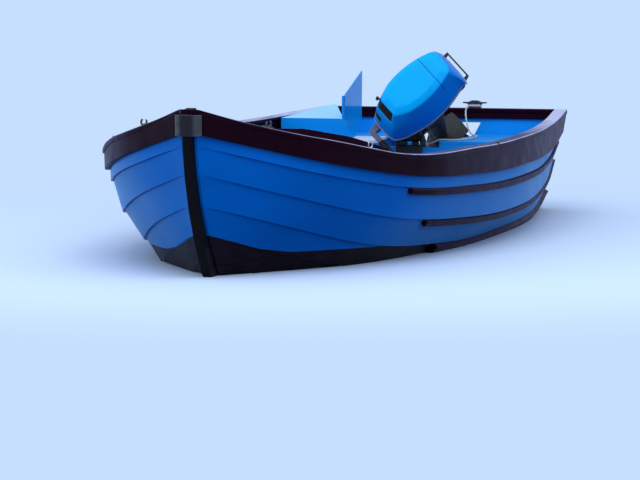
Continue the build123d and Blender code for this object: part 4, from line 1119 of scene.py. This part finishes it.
# %% Steering arm, ribbed grip, knob and button
arm_grey = pale_edges(finish("arm_grey", (96, 98, 128), (78, 80, 108), rough=(0.4, 0.55), scale=30,
                             relief=0.0003), (150, 150, 178), 0.003, 0.4)
dress("steering_arm", arm_grey, 0.003)
RIB_OUT, RIB_IN, RIB_EVERY = 0.0168, 0.0140, 0.0078
profile = [(0, 0.012), (0.002, 0.0165)]
for start in (0.006 + RIB_EVERY * k for k in range(13)):
    steps = ((0, RIB_OUT), (0.001, RIB_IN), (0.0026, RIB_IN), (0.0036, RIB_OUT))
    profile += [(start + step, radius) for step, radius in steps]
profile += [(0.109, RIB_OUT), (0.113, 0.0155), (0.1148, 0.010)]
KNOB = [(0, 0.005), (0.006, 0.005), (0.007, 0.010), (0.014, 0.011), (0.019, 0.008), (0.020, 0.003)]
BUTTON = [(0, 0.004), (0.010, 0.004), (0.011, 0.008), (0.017, 0.008), (0.018, 0.005)]
TURNINGS = {
    # name: (foot, direction, profile, number of sides)
    "ribbed_grip": ((0.180, 0.0166, 0.116), (0, 1, 0), profile, 28),
    "starter_knob": ((0.046, -0.098, 0.268), (0.5, -0.85, 0.2), KNOB, 20),
    "stop_button": ((0.128, 0.040, 0.150), (0.8, 0, -0.6), BUTTON, 16),
}
turnings = {name: keep_on_motor(turned(*recipe), name, moulded_black)
            for name, recipe in TURNINGS.items()}
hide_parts("steering_grip")
print("turned:", list(turnings), "grip profile:", len(profile), "points")

# %% [markdown]
# The clamp and swivel brackets are heavy castings whose CAD shapes are right, so they are dressed as they
# stand. Bright bolt heads are added where the castings are held together: a hexagon on a thin round washer
# each. A ribbed web with two bosses fills the clamp between its cheeks.

# %% Brackets, pin, screws and bolts
for name, material in {"clamp_bracket": casting_black, "clamp_screws": bright_metal, "tilt_pin": bright_metal,
                       "swivel_bracket": casting_black, "engine_block": bare_casting,
                       "cowl_catch": moulded_black}.items():
    dress(name, material)


WASHER = 0.0012
BOLT_HEAD = [(0, 0.0072), (0.0056, 0.0072), (0.0068, 0.0056)]


def bolt(place, direction):
    """A hexagon bolt head on its washer."""
    washer = turned(place, direction, [(0, 0.0092), (WASHER, 0.0092)])
    return absorb(washer, turned(Vector(place) + Vector(direction) * WASHER, direction, BOLT_HEAD, 6))


hull_bolts = bmesh.new()
for side in (1, -1):
    for z in (0.300, 0.230):
        absorb(hull_bolts, bolt((-1.432, side * 0.067, z), (0, side, 0)))
keep(hull_bolts, "clamp_bolts", bright_metal, 0)
web_plan = [(-1444, -64), (-1444, 64), (-1426, 58), (-1426, -58)]
web = skin_mesh([level(web_plan, z) for z in (212, 300, 352)])
for y in (-0.044, -0.022, 0.0, 0.022, 0.044):
    absorb(web, rod([(-1.424, y, 0.222), (-1.420, y, 0.30), (-1.426, y, 0.346)], 0.0045, 10))
BOSS = [(-0.018, 0.010), (-0.016, 0.013), (0.016, 0.013), (0.018, 0.010)]
for y in (-0.030, 0.030):
    absorb(web, turned((-1.430, y, 0.356), (0, 1, 0), BOSS, 18))
clamp_web = keep(web, "clamp_web", casting_black)
print("clamp web faces:", len(clamp_web.data.polygons))

# %% [markdown]
# The boat floats, so the pale floor of this studio stands in for the water and lies at the waterline. It
# has a hole the shape of the hull at that height, or it would show inside the boat, and a patch lies in the
# motor well.

# %% Floor with the hull's waterline cut out of it
FLOOR_INSET = 4


def waterline(side):
    """Points a little inside the hull's outer skin, at the floor's height, from the stem to the transom."""
    points = []
    for t in sections(0, LENGTH, 150):
        laps = [line_point(k, t) for k in range(len(LINES))]
        for upper, lower in zip(laps, laps[1:]):
            if upper[2] >= 0 > lower[2]:
                share = upper[2] / (upper[2] - lower[2])
                s, half = (u + (v - u) * share for u, v in zip(upper[:2], lower[:2]))
                points.append(Vector(((BOW - s) * MM, side * (half - FLOOR_INSET) * MM, 0)))
    return points


FLOOR_RADIUS = 95
SPREAD = 2.4
WELL_CORNERS = [(-1.494, 0.258), (-1.494, -0.258), (-2.02, -0.258), (-2.02, 0.258)]
floor_mesh = bmesh.new()
hull_rim = waterline(1) + list(reversed(waterline(-1)))
angles = [math.atan2(p.y * SPREAD, p.x) for p in hull_rim]
far_rim = [(math.cos(angle) * FLOOR_RADIUS, math.sin(angle) * FLOOR_RADIUS, 0) for angle in angles]
inner_verts = [floor_mesh.verts.new(p) for p in hull_rim]
outer_verts = [floor_mesh.verts.new(p) for p in far_rim]
for k in range(len(hull_rim)):
    j = (k + 1) % len(hull_rim)
    floor_mesh.faces.new((inner_verts[k], inner_verts[j], outer_verts[j], outer_verts[k]))
floor_mesh.faces.new([floor_mesh.verts.new((x, y, 0)) for x, y in WELL_CORNERS])
bmesh.ops.recalc_face_normals(floor_mesh, faces=floor_mesh.faces)
floor_data = bpy.data.meshes.new("floor")
floor_mesh.to_mesh(floor_data)
floor_mesh.free()
floor = bpy.data.objects.new("floor", floor_data)
scene.collection.objects.link(floor)
print("floor hole has", len(hull_rim), "corners")

# %% [markdown]
# Light comes from a wide soft sky and three large lamps. The camera, the mirrors and the clear sheets see
# the sky and the far floor in one pale blue, so there is no horizon, while the light that they cast is set
# on its own. Near the boat the floor is an ordinary pale surface that keeps the boat's shadow. It sends
# little light up under the hull, as water would.

# %% Floor material and sky
SKY = linear(198, 223, 254)
FLOOR_FADES = (1.8, 4.5)


def seen_directly(tree):
    """One where the camera, a mirror or a clear sheet looks, and nought for the light that is cast."""
    rays = add_node(tree, "ShaderNodeLightPath").outputs
    glossy = join(tree, "MAXIMUM", rays["Is Camera Ray"], rays["Is Glossy Ray"])
    return join(tree, "MAXIMUM", glossy, rays["Is Transmission Ray"])


def blend_shaders(tree, factor, first, second):
    """Two shaders mixed by a factor."""
    return add_node(tree, "ShaderNodeMixShader", {0: factor, 1: first, 2: second}).outputs["Shader"]


floor_paint = bpy.data.materials.new("pale_floor")
floor_paint.use_nodes = True
floor_data.materials.append(floor_paint)
floor_tree = floor_paint.node_tree
near_floor = floor_tree.nodes["Principled BSDF"]
near_floor.inputs["Roughness"].default_value = 0.8
near_floor.inputs["Specular IOR Level"].default_value = 0.2
floor_tree.links.new(mix(floor_tree, seen_directly(floor_tree), (74, 88, 108), (203, 225, 253)),
                     near_floor.inputs["Base Color"])
far_floor = add_node(floor_tree, "ShaderNodeEmission", {"Color": SKY})
floor_place = add_node(floor_tree, "ShaderNodeTexCoord").outputs["Object"]
reach = add_node(floor_tree, "ShaderNodeVectorMath", {0: floor_place}, operation="LENGTH").outputs["Value"]
fade = add_node(floor_tree, "ShaderNodeMapRange",
                {"Value": reach, "From Min": FLOOR_FADES[0], "From Max": FLOOR_FADES[1]},
                interpolation_type="SMOOTHSTEP")
shown = join(floor_tree, "MULTIPLY", fade.outputs["Result"], seen_directly(floor_tree))
floor_look = blend_shaders(floor_tree, shown, near_floor.outputs["BSDF"], far_floor.outputs["Emission"])
floor_tree.links.new(floor_look, floor_tree.nodes["Material Output"].inputs["Surface"])

world = bpy.data.worlds.new("sky")
scene.world = world
world.use_nodes = True
sky_tree = world.node_tree
cast = sky_tree.nodes["Background"]
cast.inputs["Color"].default_value = linear(228, 238, 255)
cast.inputs["Strength"].default_value = 0.9
seen = add_node(sky_tree, "ShaderNodeBackground", {"Color": SKY, "Strength": 1})
sky_look = blend_shaders(sky_tree, seen_directly(sky_tree), cast.outputs["Background"],
                         seen.outputs["Background"])
sky_tree.links.new(sky_look, sky_tree.nodes["World Output"].inputs["Surface"])
print("sky and floor share", [round(c, 3) for c in SKY[:3]])

# %% [markdown]
# The key lamp stands high over the bow, where it lights the cowl's top and leaves the sides in soft shade,
# and a weaker one fills each side. All are large, so that their shadows have no hard edge.

# %% Lamps
LAMPS = {
    # name: (place, point that it looks at, size, power)
    "key_lamp": ((5, 1, 7.5), (0, 0, 0.3), 6, 320),
    "fill_lamp": ((4, 8, 3), (0, 0, 0.3), 5, 90),
    "starboard_lamp": ((5, -8, 2.5), (1.2, 0, 0.3), 5, 150),
}
for name, (place, target, size, power) in LAMPS.items():
    lamp_data = bpy.data.lights.new(name, "AREA")
    lamp_data.size = size
    lamp_data.energy = power
    light = bpy.data.objects.new(name, lamp_data)
    scene.collection.objects.link(light)
    light.location = place
    light.rotation_mode = "QUATERNION"
    light.rotation_quaternion = (Vector(target) - Vector(place)).to_track_quat("-Z", "Y")
scene.view_settings.view_transform = "Standard"
print("lamps:", list(LAMPS))
